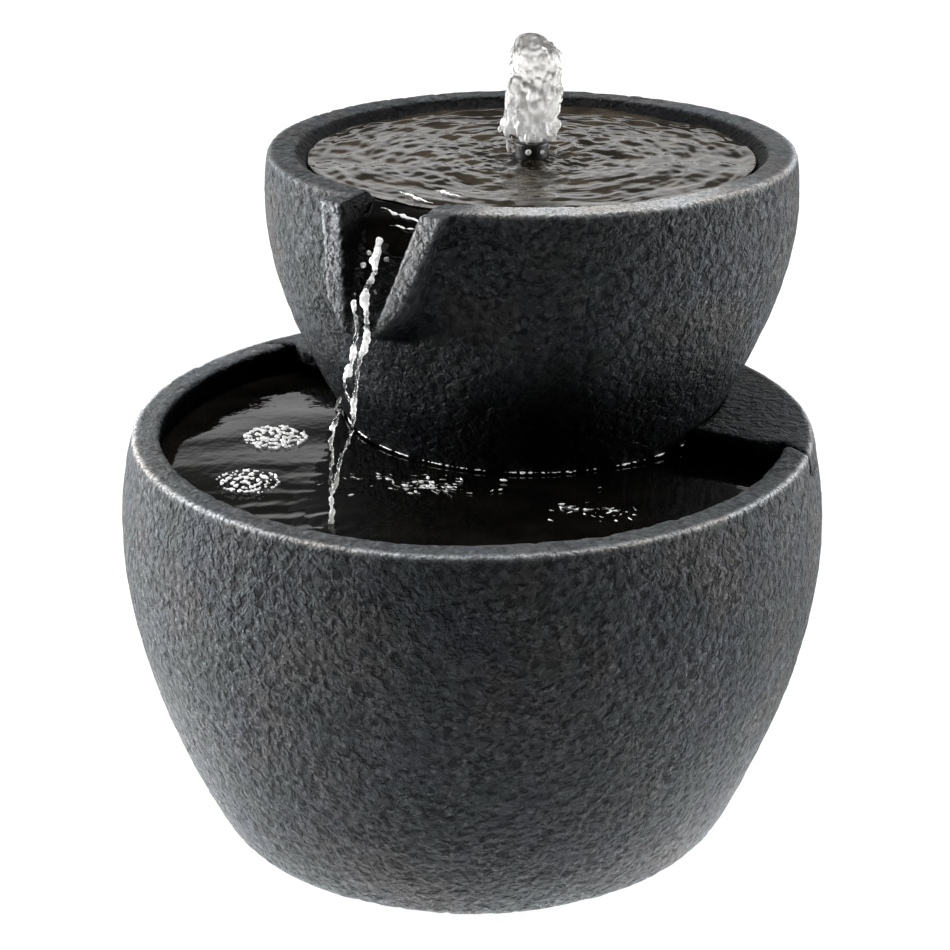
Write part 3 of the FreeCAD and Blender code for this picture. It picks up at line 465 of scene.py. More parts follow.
# %% [markdown]
# Levels come from the imported model. Pale lime follows the form, partly real wear and partly painted
# highlight: the outer edges of both rims, lime on the front of the upper rim, the lower rim's top, paler at
# its left, and the two cheeks of the spout, paler where they face forward. Each rule looks at all points of a
# skin at once, and gives every point a share from 0 to 1.

# %% Where the stone is worn and painted with highlights
def top_of(node):
    """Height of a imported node's top, to a tenth of a millimetre."""
    return round(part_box(node)[1].z, 4)


pipe_low, pipe_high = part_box("standpipe")
AXIS_Y = round((pipe_low.y + pipe_high.y) / 2, 4)
RIM_TOP = top_of("upper_bowl")
POOL_RIM = top_of("lower_bowl")
POOL_LEVEL = top_of("lower_pool_water")
DISH_LEVEL = top_of("upper_pool_water")
UPPER_EDGE = (0.1488, 0.3772, 0.0016)
LOWER_EDGE = (0.1912, 0.2322, 0.0013)
RIM_INSIDE = 0.133
NEAR_TOP = 0.004
LIP_Y = -0.091
LIP_SLOPE = 0.356
CHANNEL_FOOT = 0.319
CHANNEL_FOOT_HALF = 0.0085
CHANNEL_FLARE = 0.266
CHEEK_FOOT = 0.314
CHEEK_SIDE = 0.040
CHEEK_EDGE_WIDTH = 0.0012


def spout_front(z):
    """How far forward the face of the spout's cheeks lies at a height."""
    return LIP_Y - (RIM_TOP - z) * LIP_SLOPE


def spout_half(z):
    """Half the width of the spout's channel at a height."""
    return CHANNEL_FOOT_HALF + (z - CHANNEL_FOOT) * CHANNEL_FLARE


def edge_wear_and_highlight(radius, z, edge):
    """Wear and painted highlight that fade away from a round edge, which is given by its radius, height and
    width.
    """
    edge_radius, edge_z, width = edge
    return np.exp(-(((radius - edge_radius) ** 2 + (z - edge_z) ** 2) / width ** 2))


def wear_and_highlight_places(points, facing):
    """Wear and painted highlight on the outer edges of both rims, tops of the rims, and the faces of the
    spout's cheeks.
    """
    x, y, z = points.T
    from_axis = np.hypot(x, y - AXIS_Y)
    level = smooth_step(facing[:, 2], 0.6, 0.95)
    angle = np.degrees(np.arctan2(x, AXIS_Y - y))
    upper_edge = edge_wear_and_highlight(from_axis, z, UPPER_EDGE)
    # painted highlight: the upper rim's edge is paler on its front than behind
    upper_edge = upper_edge * (0.18 + 0.42 * smooth_step(angle, 5, 26) * (1 - smooth_step(angle, 120, 150)))
    lower_edge = edge_wear_and_highlight(np.hypot(x, y), z, LOWER_EDGE)
    front = smooth_step(angle, 12, 26) * (1 - 0.92 * smooth_step(angle, 58, 92))
    upper_top = level * front * (z > RIM_TOP - NEAR_TOP) * (from_axis > RIM_INSIDE)
    lower_top = level * (z > POOL_RIM - NEAR_TOP) * (z < POOL_RIM + NEAR_TOP)
    # painted highlight: the lower rim's top is paler towards its left
    lower_top = lower_top * (0.04 + 0.08 * smooth_step(-x, 0.04, 0.15))
    beside = np.abs(x) - spout_half(z)
    tall = (z > CHEEK_FOOT) & (z < RIM_TOP - 0.001)
    cheek = tall & (beside > 0.0004) & (np.abs(x) < CHEEK_SIDE) & (y < spout_front(z) + 0.004)
    # painted highlight: cheek faces that look forward are paler, more so near the top
    cheeks = cheek * smooth_step(-facing[:, 1], 0.45, 0.75) * (0.16 + 0.22 * smooth_step(z, 0.325, 0.372))
    cheek_edges = cheek * np.exp(-(beside / CHEEK_EDGE_WIDTH) ** 2) * 0.35
    wear_and_highlight = upper_edge + lower_edge * 0.85 + upper_top * 0.75 + lower_top + cheeks + cheek_edges
    return np.clip(wear_and_highlight, 0, 1)


print("levels: rim", RIM_TOP, "dish", DISH_LEVEL, "lower rim", POOL_RIM, "pool", POOL_LEVEL)

# %% [markdown]
# Wet places follow the water: the inside of the dish, the spout's channel with its walls, and the inside of
# the lower bowl. The same darker, smoother stone also covers the upper bowl's foot, up to an uneven line,
# and its wall under the spout, where it is painted shade.

# %% Wet stone, a darker foot, and painted shade
DISH_WALL = 0.1375
DISH_FLOOR = (0.285, 0.290)
CHUTE_START = -0.058
CHUTE_FOOT = 0.312
CHUTE_WALL = 0.006
POOL_WALL = 0.181
UNDER_FLOOR = 0.012
DARK_FOOT_FROM = 0.036
DARK_FOOT_TO = 0.094
SPOUT_SHADE_WIDTH = 0.060


def wet_places(points, facing):
    """The dish, the spout's channel and the inside of the lower bowl."""
    x, y, z = points.T
    from_axis = np.hypot(x, y - AXIS_Y)
    outward = (x * facing[:, 0] + (y - AXIS_Y) * facing[:, 1]) / np.maximum(from_axis, 0.001)
    dish = (from_axis < DISH_WALL) * (outward < 0.35) * smooth_step(z, *DISH_FLOOR)
    dish = dish * (1 - smooth_step(z, RIM_TOP - 0.0020, RIM_TOP - 0.0008))
    chute = (y < CHUTE_START) & (z > CHUTE_FOOT) & (z < RIM_TOP - 0.0005)
    channel = chute * (1 - smooth_step(np.abs(x) - spout_half(z), 0.0002, 0.0012))
    sideways = smooth_step(-np.sign(x) * facing[:, 0], 0.35, 0.6)
    walls = chute * (np.abs(x) < spout_half(z) + CHUTE_WALL) * sideways * 0.8
    inward = (x * facing[:, 0] + y * facing[:, 1] < 0) & (np.hypot(x, y) < POOL_WALL)
    pool = inward * (1 - smooth_step(z, POOL_RIM - 0.005, POOL_RIM - 0.001)) * (z > UNDER_FLOOR)
    return np.clip(dish + np.maximum(channel, walls) + pool, 0, 1)


def darkened_foot_and_spout_places(points):
    """The upper bowl's foot, darker up to an uneven line, and painted shade on its wall under the spout."""
    x, y, z = points.T
    angle = np.arctan2(y - AXIS_Y, x)
    uneven = 0.007 * np.sin(3.0 * angle + 0.6) + 0.005 * np.sin(7.0 * angle)
    uneven = uneven + 0.004 * np.sin(17.0 * angle + 1.0)
    foot = (1 - smooth_step(z + uneven, POOL_LEVEL + DARK_FOOT_FROM, POOL_LEVEL + DARK_FOOT_TO)) * 0.95
    below_lip = 1 - smooth_step(z, 0.310, 0.332)
    # painted shade on the wall under the spout
    under_spout = (y < 0) * np.exp(-(x / SPOUT_SHADE_WIDTH) ** 2) * below_lip * 0.85
    return np.maximum(foot, under_spout)


print("rules for wear and water ready")

# %% [markdown]
# Each casting is the imported shape with an even skin, pushed in and out by noise: broad unevenness from the
# mould, lumps of about a centimetre, and small pits. The two ends of the lower rim, where the deck begins,
# are rounded off first. The marks for wear with painted highlight, and for water with painted shade, go on
# last.

# %% Roughened castings
BROAD_SCALE, BROAD_HEIGHT = 16.0, 0.00055
LUMP_SCALE, LUMP_HEIGHT = 85.0, 0.00034
PIT_SCALE, PIT_DEPTH = 190.0, 0.0012
PIT_SHIFT = Vector((3.1, 7.7, 1.3))
RIM_ENDS = [(side * 0.1646, 0.0595, POOL_RIM) for side in (1, -1)]
RIM_END_REACH = 0.009
RIM_END_ROUNDS = 14


def cast_height(point):
    """Height of the cast surface above the smooth one, in metres."""
    broad = noise.noise(point * BROAD_SCALE) * BROAD_HEIGHT
    lumps = noise.fractal(point * LUMP_SCALE, 0.9, 2.1, 3) * LUMP_HEIGHT
    pits = max(0.0, noise.noise(point * PIT_SCALE + PIT_SHIFT) - 0.12) * -PIT_DEPTH
    return broad + lumps + pits


def soften_near(mesh, places, reach, rounds):
    """Rounds what lies within reach of some places."""
    shape = bmesh.new()
    shape.from_mesh(mesh)
    near = []
    for point in shape.verts:
        if min((point.co - Vector(place)).length for place in places) < reach:
            near.append(point)
    all_axes = {"use_axis_x": True, "use_axis_y": True, "use_axis_z": True}
    for _ in range(rounds):
        bmesh.ops.smooth_vert(shape, verts=near, factor=0.5, **all_axes)
    shape.to_mesh(mesh)
    shape.free()


def cast_piece(node, body, voxel, roughness=1.0, damp=0.0, worn_corners=(), dark_foot_and_spout=False):
    skin = even_skin(nodes[node].data, voxel, 1)
    if worn_corners:
        soften_near(skin, worn_corners, RIM_END_REACH, RIM_END_ROUNDS)
    push_out(skin, lambda point: roughness * cast_height(point))
    points = points_of(skin)
    facing = normals_of(skin)
    mark(skin, "wear_and_highlight", wear_and_highlight_places(points, facing))
    wet_and_shade = np.maximum(wet_places(points, facing), damp)
    mark(skin, "wet_and_shade", np.maximum(wet_and_shade, darkened_foot_and_spout_places(points)) if dark_foot_and_spout else wet_and_shade)
    skin.materials.append(stone)
    piece = new_piece(f"{node}_cast", skin, body)
    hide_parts(node)
    print(piece.name, len(skin.vertices), "points")


cast_piece("lower_bowl", "basin", voxel=0.0020, worn_corners=RIM_ENDS)
cast_piece("upper_bowl", "upper_bowl", voxel=0.0016, dark_foot_and_spout=True)
cast_piece("deck", "deck", voxel=0.0016, roughness=0.5, damp=0.28)
cast_piece("pedestal", "basin", voxel=0.0030)

# %% [markdown]
# Still water in a dark bowl is a dark mirror. At this low angle it throws back about an eighth of the white
# surround in the pool and a quarter in the dish. Each ripple tilts the mirror, so the ripples are modelled as
# real waves. The finish is a dark body with the gloss of water. Moving water is clear, with a milky share
# where air is churned into it.

# %% Water finishes
WATER_BEND = 1.333


def still_water_finish(name, deep, silty):
    finish = Finish(name)
    silt = finish.grain(45.0, 4.0)
    colour = finish.blend(silt.between(0.35, 0.7), deep, silty)
    ruffle = finish.bump(finish.grain(120.0, 2.0, 0.5), 0.0010, 0.20)
    shader = finish.shader(Base_Color=colour, Roughness=0.045, IOR=WATER_BEND, Normal=ruffle)
    return finish.close(shader)


def churned_water_finish(name, scale, cloud, froth_from, blur, glow, outline=None):
    """Clear water, clouded by small bubbles, with froth where they crowd or the mesh is marked; the froth glows
    a little as painted light.
    """
    finish = Finish(name)
    tall = finish.node("Mapping", {"Vector": finish.place, "Scale": (1.0, 1.0, 0.55)})
    bubbles = finish.grain(scale, 3.0, 0.6, tall)
    frothy = finish.marked("froth")
    ruffle = finish.bump(bubbles, 0.0008, 0.40)
    water = dict(IOR=WATER_BEND, Transmission_Weight=1.0, Normal=ruffle)
    clear = finish.shader(Base_Color=rgb(0.98, 0.985, 0.985), Roughness=0.02, **water)
    clouded = finish.shader(Base_Color=rgb(0.90, 0.89, 0.865), Roughness=blur, **water)
    white = finish.blend(bubbles.between(0.3, 0.7), rgb(0.80, 0.79, 0.78), rgb(0.95, 0.95, 0.95))
    # painted light: the froth glows although it is no lamp
    froth = finish.shader(
        Base_Color=white, Roughness=0.4, Normal=ruffle,
        Emission_Color=rgb(1.0, 1.0, 1.0), Emission_Strength=glow,
    )
    milky = finish.mix(bubbles.between(*cloud), clear, clouded)
    crowded = bubbles.between(froth_from, froth_from + 0.10)
    share = crowded.math("MAXIMUM", crowded, frothy * (0.35 + 0.65 * bubbles.between(0.38, 0.54)))
    mixed = finish.mix(share, milky, froth)
    if outline:
        # painted shade: a grey outline where the surface turns away from the camera
        edge = finish.node("LayerWeight", {"Blend": 0.5}).port("Facing").between(*outline)
        dark_edge_shade = finish.shader(Base_Color=rgb(0.26, 0.26, 0.25), Roughness=0.08, **water)
        mixed = finish.mix(edge, mixed, dark_edge_shade)
    return finish.close(mixed)


dish_finish = still_water_finish("dish_water", rgb(0.013, 0.0100, 0.0065), rgb(0.052, 0.041, 0.028))
pool_finish = still_water_finish("pool_water", rgb(0.003, 0.0028, 0.0025), rgb(0.007, 0.0062, 0.0052))
jet_finish = churned_water_finish(
    "jet_water", 210.0, cloud=(0.25, 0.45), froth_from=0.57, blur=0.42, glow=0.14, outline=(0.45, 0.88)
)
stream_finish = churned_water_finish(
    "stream_water", 120.0, cloud=(0.48, 0.62), froth_from=0.62, blur=0.30, glow=0.42
)
# foam, also used for the painted highlights and glints that are built as froth
foam_and_highlight_finish = churned_water_finish("foam_and_highlight", 300.0, cloud=(0.10, 0.20), froth_from=0.16, blur=0.30, glow=0.38)

# %% [markdown]
# The water in the dish is a turned shape whose top is a fine polar grid. Waves leave the jet in rings and
# lose height on the way to the wall, long streaks lie along the rings, and waves thrown back by the wall
# cross them. The under side follows the dish, so the mesh is one closed solid. Each of its points is a radius
# and a height.

# %% Water in the dish
DISH_WATER_EDGE = 0.1274
NOZZLE_HOLE = 0.0109
DISH_RINGS = 110
DISH_STEPS = 480
UNDER_DISH = [
    (0.1257, 0.3700), (0.1257, 0.3300), (0.1250, 0.3080), (0.1180, 0.2975), (0.1060, 0.2934),
    (0.0700, 0.2934), (0.0224, 0.2934), (0.0224, 0.2989),
    (NOZZLE_HOLE, 0.2989), (NOZZLE_HOLE, 0.3300), (NOZZLE_HOLE, 0.3600),
]
THROWN_BACK = 9
SHORT_RING, SHORT_RING_HEIGHT, SHORT_RING_REACH = 0.0105, 0.00042, 0.020
LONG_RING, LONG_RING_HEIGHT, LONG_RING_REACH = 0.0260, 0.00030, 0.085
STREAK_HEIGHT, FINE_STREAK_HEIGHT = 0.00120, 0.00036
SWELL_HEIGHT = 0.0016


def polar(reach, angle):
    return reach * math.cos(angle), reach * math.sin(angle)


def wobble(x, y, z):
    """Soft noise about zero at a place."""
    return noise.noise(Vector((x, y, z)))


def wave_sources():
    """Points near the wall that throw the jet's waves back: place, wave length and wave height."""
    chance = random.Random(17)
    sources = []
    for number in range(THROWN_BACK):
        angle = math.tau * (number + chance.random()) / THROWN_BACK
        away = chance.uniform(0.128, 0.190)
        length = chance.uniform(0.009, 0.020)
        height = length * chance.uniform(0.002, 0.0045)
        sources.append((*polar(away, angle), length, height))
    return sources


WAVE_SOURCES = wave_sources()


def dish_wave(radius, angle):
    """Height of the water in the dish above its level, in metres."""
    x, y = polar(radius, angle)
    wander = noise.noise(Vector((x, y, 0)) * 24.0) * 2.4
    along_ring = Vector((*polar(3.4, angle), radius * 105.0 + wander * 0.12))
    streaks = noise.noise(along_ring) * STREAK_HEIGHT + noise.noise(along_ring * 2.7) * FINE_STREAK_HEIGHT
    streaks *= 1.05 + 0.45 * Vector((x, y)).dot(VIEW_AHEAD) / DISH_WATER_EDGE
    swell = wobble(x * 20.0, y * 20.0, 4.0) * SWELL_HEIGHT
    short_fade = math.exp(-radius / SHORT_RING_REACH)
    rings = math.sin(math.tau * radius / SHORT_RING + wander) * SHORT_RING_HEIGHT * short_fade
    long_fade = math.exp(-(radius / LONG_RING_REACH) ** 2)
    rings += math.sin(math.tau * radius / LONG_RING + wander) * LONG_RING_HEIGHT * long_fade
    crossing = 0.0
    for source_x, source_y, length, tall in WAVE_SOURCES:
        crossing += tall * math.sin(math.tau * math.hypot(x - source_x, y - source_y) / length + wander)
    return rings + streaks + swell + crossing


def turned_water(name, top, under, wave):
    """Closed solid turned round the upper axis from a rippled top and a plain under side."""
    points = []
    for row, (radius, level) in enumerate(top + under):
        for step in range(DISH_STEPS):
            angle = math.tau * step / DISH_STEPS
            lift = wave(radius, angle) if row < len(top) else 0.0
            x, y = polar(radius, angle)
            points.append((x, AXIS_Y + y, level + lift))
    rows = len(top) + len(under)
    faces = []
    for row in range(rows):
        ahead = (row + 1) % rows
        for step in range(DISH_STEPS):
            beside = (step + 1) % DISH_STEPS
            faces.append((row * DISH_STEPS + step, ahead * DISH_STEPS + step,
                          ahead * DISH_STEPS + beside, row * DISH_STEPS + beside))
    mesh = bpy.data.meshes.new(name)
    mesh.from_pydata(points, [], faces)
    mesh.shade_smooth()
    return mesh


def water_piece(name, mesh, finish, body, node):
    """Puts a water mesh in the scene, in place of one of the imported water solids."""
    mesh.materials.append(finish)
    piece = new_piece(name, mesh, body)
    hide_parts(node)
    print(name, len(mesh.vertices), "points")
    return piece


ring_gap = DISH_WATER_EDGE - NOZZLE_HOLE
dish_top = [(NOZZLE_HOLE + ring_gap * ring / (DISH_RINGS - 1), DISH_LEVEL) for ring in range(DISH_RINGS)]
dish_mesh = turned_water("dish_water", dish_top, UNDER_DISH, dish_wave)
water_piece("dish_water", dish_mesh, dish_finish, "upper_bowl", "upper_pool_water")

# %% [markdown]
# The water round the upper bowl's foot has an awkward outline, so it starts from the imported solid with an
# even skin. Only its top moves: broad slow waves, rings from where the stream lands, and small choppy spots.
# At the left wall and along the deck it dips a little, and the points just below the top stay below it.

# %% Water in the lower bowl
POOL_VOXEL = 0.0026
POOL_TOP = 0.0006
POOL_SKIRT = 0.0070
SKIRT_GAP = 0.0004
POOL_RADIUS = 0.1776
DECK_FRONT = 0.051
STREAM_FOOT = Vector((0.0, -0.1415))
CHOPPY_SPOTS = [((0.014, -0.071), 0.020), ((0.111, -0.061), 0.022)]
WALL_DIP, WALL_DIP_REACH = 0.0042, 0.036
DECK_DIP, DECK_DIP_REACH = 0.0036, 0.030


def pool_wave(x, y):
    """Height of the pool above its level, in metres: rings, long swell across the view, and chop."""
    spot = Vector((x, y))
    across, ahead = spot.dot(VIEW_ACROSS), spot.dot(VIEW_AHEAD)
    away = (spot - STREAM_FOOT).length
    wander = wobble(x * 30.0, y * 30.0, 0) * 1.6
    rings = math.sin(away * 620.0 + wander) * 0.00045 * math.exp(-away / 0.020)
    swell = wobble(across * 9.0, ahead * 26.0, 0.3) * 0.00150
    near_stream = math.exp(-(away / 0.080) ** 2)
    streaks = wobble(across * 26.0, ahead * 120.0, 5.0) * 0.00085 * near_stream
    chop = 0.0
    for (spot_x, spot_y), reach in CHOPPY_SPOTS:
        near = math.exp(-((x - spot_x) ** 2 + (y - spot_y) ** 2) / reach ** 2)
        chop += near * wobble(x * 120.0, y * 120.0, 0) * 0.0009
    left = min(1.0, max(0.0, -x / 0.06))
    right = min(1.0, max(0.0, (x - 0.08) / 0.05))
    dip = WALL_DIP * left * math.exp(-max(0.0, POOL_RADIUS - spot.length) / WALL_DIP_REACH)
    dip += DECK_DIP * (right + 0.8 * left) * math.exp(-max(0.0, DECK_FRONT - y) / DECK_DIP_REACH)
    return rings + swell + streaks + chop - dip


pool_mesh = even_skin(nodes["lower_pool_water"].data, POOL_VOXEL, 0)
pool_points = points_of(pool_mesh)
top = pool_points[:, 2] > POOL_LEVEL - POOL_TOP
skirt = pool_points[:, 2] > POOL_LEVEL - POOL_SKIRT
waves = np.array([POOL_LEVEL + pool_wave(x, y) for x, y in pool_points[skirt][:, :2]])
pool_points[skirt, 2] = np.where(top[skirt], waves, np.minimum(pool_points[skirt, 2], waves - SKIRT_GAP))
put_points(pool_mesh, pool_points)
water_piece("pool_water", pool_mesh, pool_finish, "basin", "lower_pool_water")
print("of these on top:", int(top.sum()))

# %% [markdown]
# Moving water has no outline that could be drawn, so it is built from overlapping balls. The voxel remesh
# welds them into one skin, which keeps their bulges and loses the seams between them.

# %% Welded balls
def welded(name, balls, voxel, rounds):
    """One skin round many overlapping balls, each given by its middle and its three radii."""
    shape = bmesh.new()
    for middle, radii in balls:
        matrix = Matrix.Translation(middle) @ Matrix.Diagonal((*radii, 1.0))
        bmesh.ops.create_icosphere(shape, subdivisions=2, radius=1.0, matrix=matrix)
    loose = bpy.data.meshes.new(name)
    shape.to_mesh(loose)
    shape.free()
    skin = even_skin(loose, voxel, rounds)
    bpy.data.meshes.remove(loose)
    skin.name = name
    return skin


def ball(x, y, z, radius, tall=1.0):
    return Vector((x, y, z)), (radius, radius, radius * tall)


print("balls and their weld ready")

# %% [markdown]
# The jet is a churning column about 60 mm tall that leans a little and falls back over its own foot. A core
# of flat balls gives its form, of which each row is a height, a lean across the view and a radius. Lumps
# bulge from the core, beads hang from it as a ragged skirt, and a few drops hang in front of the nozzle.

# %% Jet
JET_FORM = [
    (0.3818, 0.0000, 0.0075), (0.3860, -0.0012, 0.0090), (0.3895, -0.0016, 0.0140),
    (0.3940, -0.0004, 0.0146), (0.4000, 0.0006, 0.0150), (0.4065, 0.0016, 0.0154),
    (0.4135, 0.0023, 0.0146), (0.4210, 0.0028, 0.0151), (0.4285, 0.0022, 0.0146),
    (0.4335, 0.0006, 0.0122), (0.4370, -0.0006, 0.0095), (0.4390, -0.0010, 0.0066),
]
DROPS = [
    (-0.0022, 0.0128, 0.3768, 0.0020), (0.0060, 0.0118, 0.3770, 0.0015), (-0.0105, 0.0105, 0.3775, 0.0013),
]
CORE_FOOT, CORE_HEAD, CORE_STEPS = 0.3822, 0.4372, 44
CORE_SHARE, CORE_FLATNESS = 0.96, 0.0044
LUMP_COUNT, BEAD_COUNT, DRIP_COUNT = 330, 70, 26
SMOOTH_FROM = 0.415
SKIRT_TOP = 0.3900
FROTH_TOP = 0.4040
JET_VOXEL = 0.0007


def beside_axis(across, towards):
    """Place next to the jet's axis: across the view, and towards the camera."""
    return VIEW_ACROSS * across - VIEW_AHEAD * towards + Vector((0, AXIS_Y))


def row_at(rows, place):
    """The second and third column of a table, at a place in its first column."""
    places, second, third = zip(*rows)
    return np.interp(place, places, second), np.interp(place, places, third)


def jet_balls():
    chance = random.Random(11)
    balls = []
    for step in range(CORE_STEPS):
        height = CORE_FOOT + step * (CORE_HEAD - CORE_FOOT) / (CORE_STEPS - 1)
        lean, radius = row_at(JET_FORM, height)
        x, y = beside_axis(lean, 0)
        balls.append((Vector((x, y, height)), (radius * CORE_SHARE, radius * CORE_SHARE, CORE_FLATNESS)))
    for _ in range(LUMP_COUNT):
        height = chance.uniform(0.3880, 0.4340)
        lean, radius = row_at(JET_FORM, height)
        angle = chance.uniform(0, math.tau)
        size = chance.uniform(0.0012, 0.0027)
        sunk = 0.62 if height > SMOOTH_FROM else 0.35
        reach = radius - size * sunk - 0.0003
        x, y = beside_axis(lean + reach * math.cos(angle), reach * math.sin(angle))
        tall = 1.1 if height > SMOOTH_FROM else chance.uniform(1.2, 2.4)
        balls.append(ball(x, y, height, size, tall))
    for _ in range(BEAD_COUNT):
        angle = chance.uniform(0, math.tau)
        reach = chance.uniform(0.0125, 0.0172)
        x, y = beside_axis(reach * math.cos(angle) - 0.0016, reach * math.sin(angle))
        height = chance.uniform(0.3855, 0.3925)
        balls.append(ball(x, y, height, chance.uniform(0.0009, 0.0019), 1.9))
    for _ in range(DRIP_COUNT):
        angle = chance.uniform(0, math.tau)
        reach = chance.uniform(0.0112, 0.0175)
        x, y = beside_axis(reach * math.cos(angle), reach * math.sin(angle))
        if math.sin(angle) < 0.7:
            height = chance.uniform(0.3735, 0.3860)
            size = chance.uniform(0.0005, 0.0012)
            balls.append(ball(x, y, height, size, chance.uniform(1.2, 3.2)))
    for across, towards, height, size in DROPS:
        x, y = beside_axis(across, towards)
        balls.append(ball(x, y, height, size))
    return balls


jet_mesh = welded("jet", jet_balls(), JET_VOXEL, 2)
push_out(jet_mesh, lambda point: noise.fractal(point * 230.0, 0.8, 2.0, 2) * 0.0004)
mark(jet_mesh, "froth", 0.75 - 0.75 * smooth_step(points_of(jet_mesh)[:, 2], SKIRT_TOP, FROTH_TOP))
jet = water_piece("jet", jet_mesh, jet_finish, "upper_bowl", "water_jet")

# %% [markdown]
# From the spout the water falls in strands that twist round each other, pinch off and join again. Each strand
# is a row of balls along the path of the fall, which is a list of places in the middle plane: forward and up.
# A strand's rows give the share of the fall, the place across it and the radius, both in millimetres.

# %% Stream
FALL = [
    (-0.0800, 0.3610), (-0.0860, 0.3535), (-0.0920, 0.3455), (-0.1000, 0.3360), (-0.1070, 0.3265),
    (-0.1135, 0.3160), (-0.1200, 0.2980), (-0.1275, 0.2730), (-0.1345, 0.2480), (-0.1395, 0.2270),
    (-0.1412, 0.2200),
]


def along_fall(share):
    """Place on the fall's path, from 0 at its head to 1 at the pool."""
    forward, up = zip(*FALL)
    run = np.append(0.0, np.cumsum(np.hypot(np.diff(forward), np.diff(up))))
    return np.interp(share * run[-1], run, forward), np.interp(share * run[-1], run, up)


MAIN_STRAND = [
    (0.05, -4.1, 2.0), (0.08, -3.2, 1.6), (0.12, -2.8, 2.5), (0.15, -1.0, 1.1), (0.18, -0.8, 1.4),
    (0.21, -1.6, 0.9), (0.25, -1.0, 2.9), (0.29, 2.4, 1.3), (0.33, 4.7, 1.2), (0.38, 6.4, 2.4),
    (0.41, 5.1, 1.5), (0.45, 4.2, 1.1), (0.51, 4.0, 1.0), (0.55, 4.4, 1.2), (0.61, 4.6, 1.8),
    (0.65, 5.8, 0.9), (0.69, 5.4, 0.9), (0.73, 3.4, 0.9), (0.79, 0.5, 1.0), (0.86, -0.3, 1.2),
    (0.91, -1.6, 1.3), (1.00, -0.2, 1.4),
]
LEFT_STRAND = [
    (0.27, -6.6, 1.5), (0.31, -4.1, 0.9), (0.33, -1.6, 1.2), (0.36, -0.5, 1.2), (0.39, -1.1, 0.8),
    (0.43, -0.5, 2.1), (0.46, -0.8, 1.0), (0.49, -1.4, 2.2), (0.52, -3.7, 1.0), (0.55, -2.0, 0.7),
    (0.60, 3.0, 0.7),
]
FAR_STRAND = [
    (0.58, -4.0, 0.7), (0.61, -6.0, 0.9), (0.65, -4.6, 0.7), (0.684, -6.6, 1.5), (0.70, -5.0, 0.6),
    (0.73, -6.0, 1.2), (0.79, -3.8, 0.7), (0.855, -4.0, 0.9), (0.91, -1.8, 0.9),
]
SIDE_DROPS = [(0.09, -8.0, 1.2), (0.135, -9.5, 1.3), (0.10, 3.0, 1.1), (0.22, 3.4, 1.0), (0.24, -8.4, 0.8)]
STRAND_STEPS = 150
STREAM_VOXEL = 0.0005
IN_CHANNEL = 0.33
MM = 0.001


def stream_balls():
    balls = []
    for number, strand in enumerate((MAIN_STRAND, LEFT_STRAND, FAR_STRAND)):
        first, last = strand[0][0], strand[-1][0]
        for step in range(STRAND_STEPS):
            share = first + (last - first) * step / (STRAND_STEPS - 1)
            across, radius = row_at(strand, share)
            y, z = along_fall(share)
            waver = wobble(share * 40.0, number, 0) * 0.7
            depth = (0.0016 + radius * MM * 0.5) * (1.0 if share < IN_CHANNEL else 0.3)
            balls.append(ball((across + waver) * MM, y - depth * 0.6, z + depth, radius * MM * 0.92, 1.25))
    for share, across, radius in SIDE_DROPS:
        y, z = along_fall(share)
        balls.append(ball(across * MM, y - 0.0006, z + 0.0018, radius * MM, 1.4))
    return balls


def froth_and_highlight_near(points, balls):
    """Froth marks for a stream: thick clots are white, partly froth and partly painted highlight; thin threads
    are clear.
    """
    tree = KDTree(len(balls))
    for number, (middle, _) in enumerate(balls):
        tree.insert(middle, number)
    tree.balance()
    thick = np.array([balls[tree.find(Vector(point))[1]][1][0] for point in points])
    return smooth_step(thick, 0.0009, 0.0017)


strand_balls = stream_balls()
stream_mesh = welded("stream", strand_balls, STREAM_VOXEL, 1)
push_out(stream_mesh, lambda point: noise.fractal(point * 330.0, 0.7, 2.1, 3) * 0.0011)
mark(stream_mesh, "froth", froth_and_highlight_near(points_of(stream_mesh), strand_balls))
stream = water_piece("stream", stream_mesh, stream_finish, "upper_bowl", "water_stream")

# %% [markdown]
# Before it breaks up, the water leaves the dish as a smooth tongue over the sill of the spout. The tongue is
# a thin closed sheet. Each row of its form is a place forward, a height and half a width.

# %% Tongue over the sill
TONGUE = [
    (-0.0540, 0.3696, 0.0226), (-0.0600, 0.3716, 0.0230), (-0.0630, 0.3716, 0.0228),
    (-0.0660, 0.3706, 0.0222), (-0.0700, 0.3688, 0.0214), (-0.0740, 0.3664, 0.0200),
    (-0.0780, 0.3626, 0.0180), (-0.0820, 0.3578, 0.0150), (-0.0865, 0.3520, 0.0110),
]
TONGUE_STEPS = 28
TONGUE_THICKNESS = 0.0022


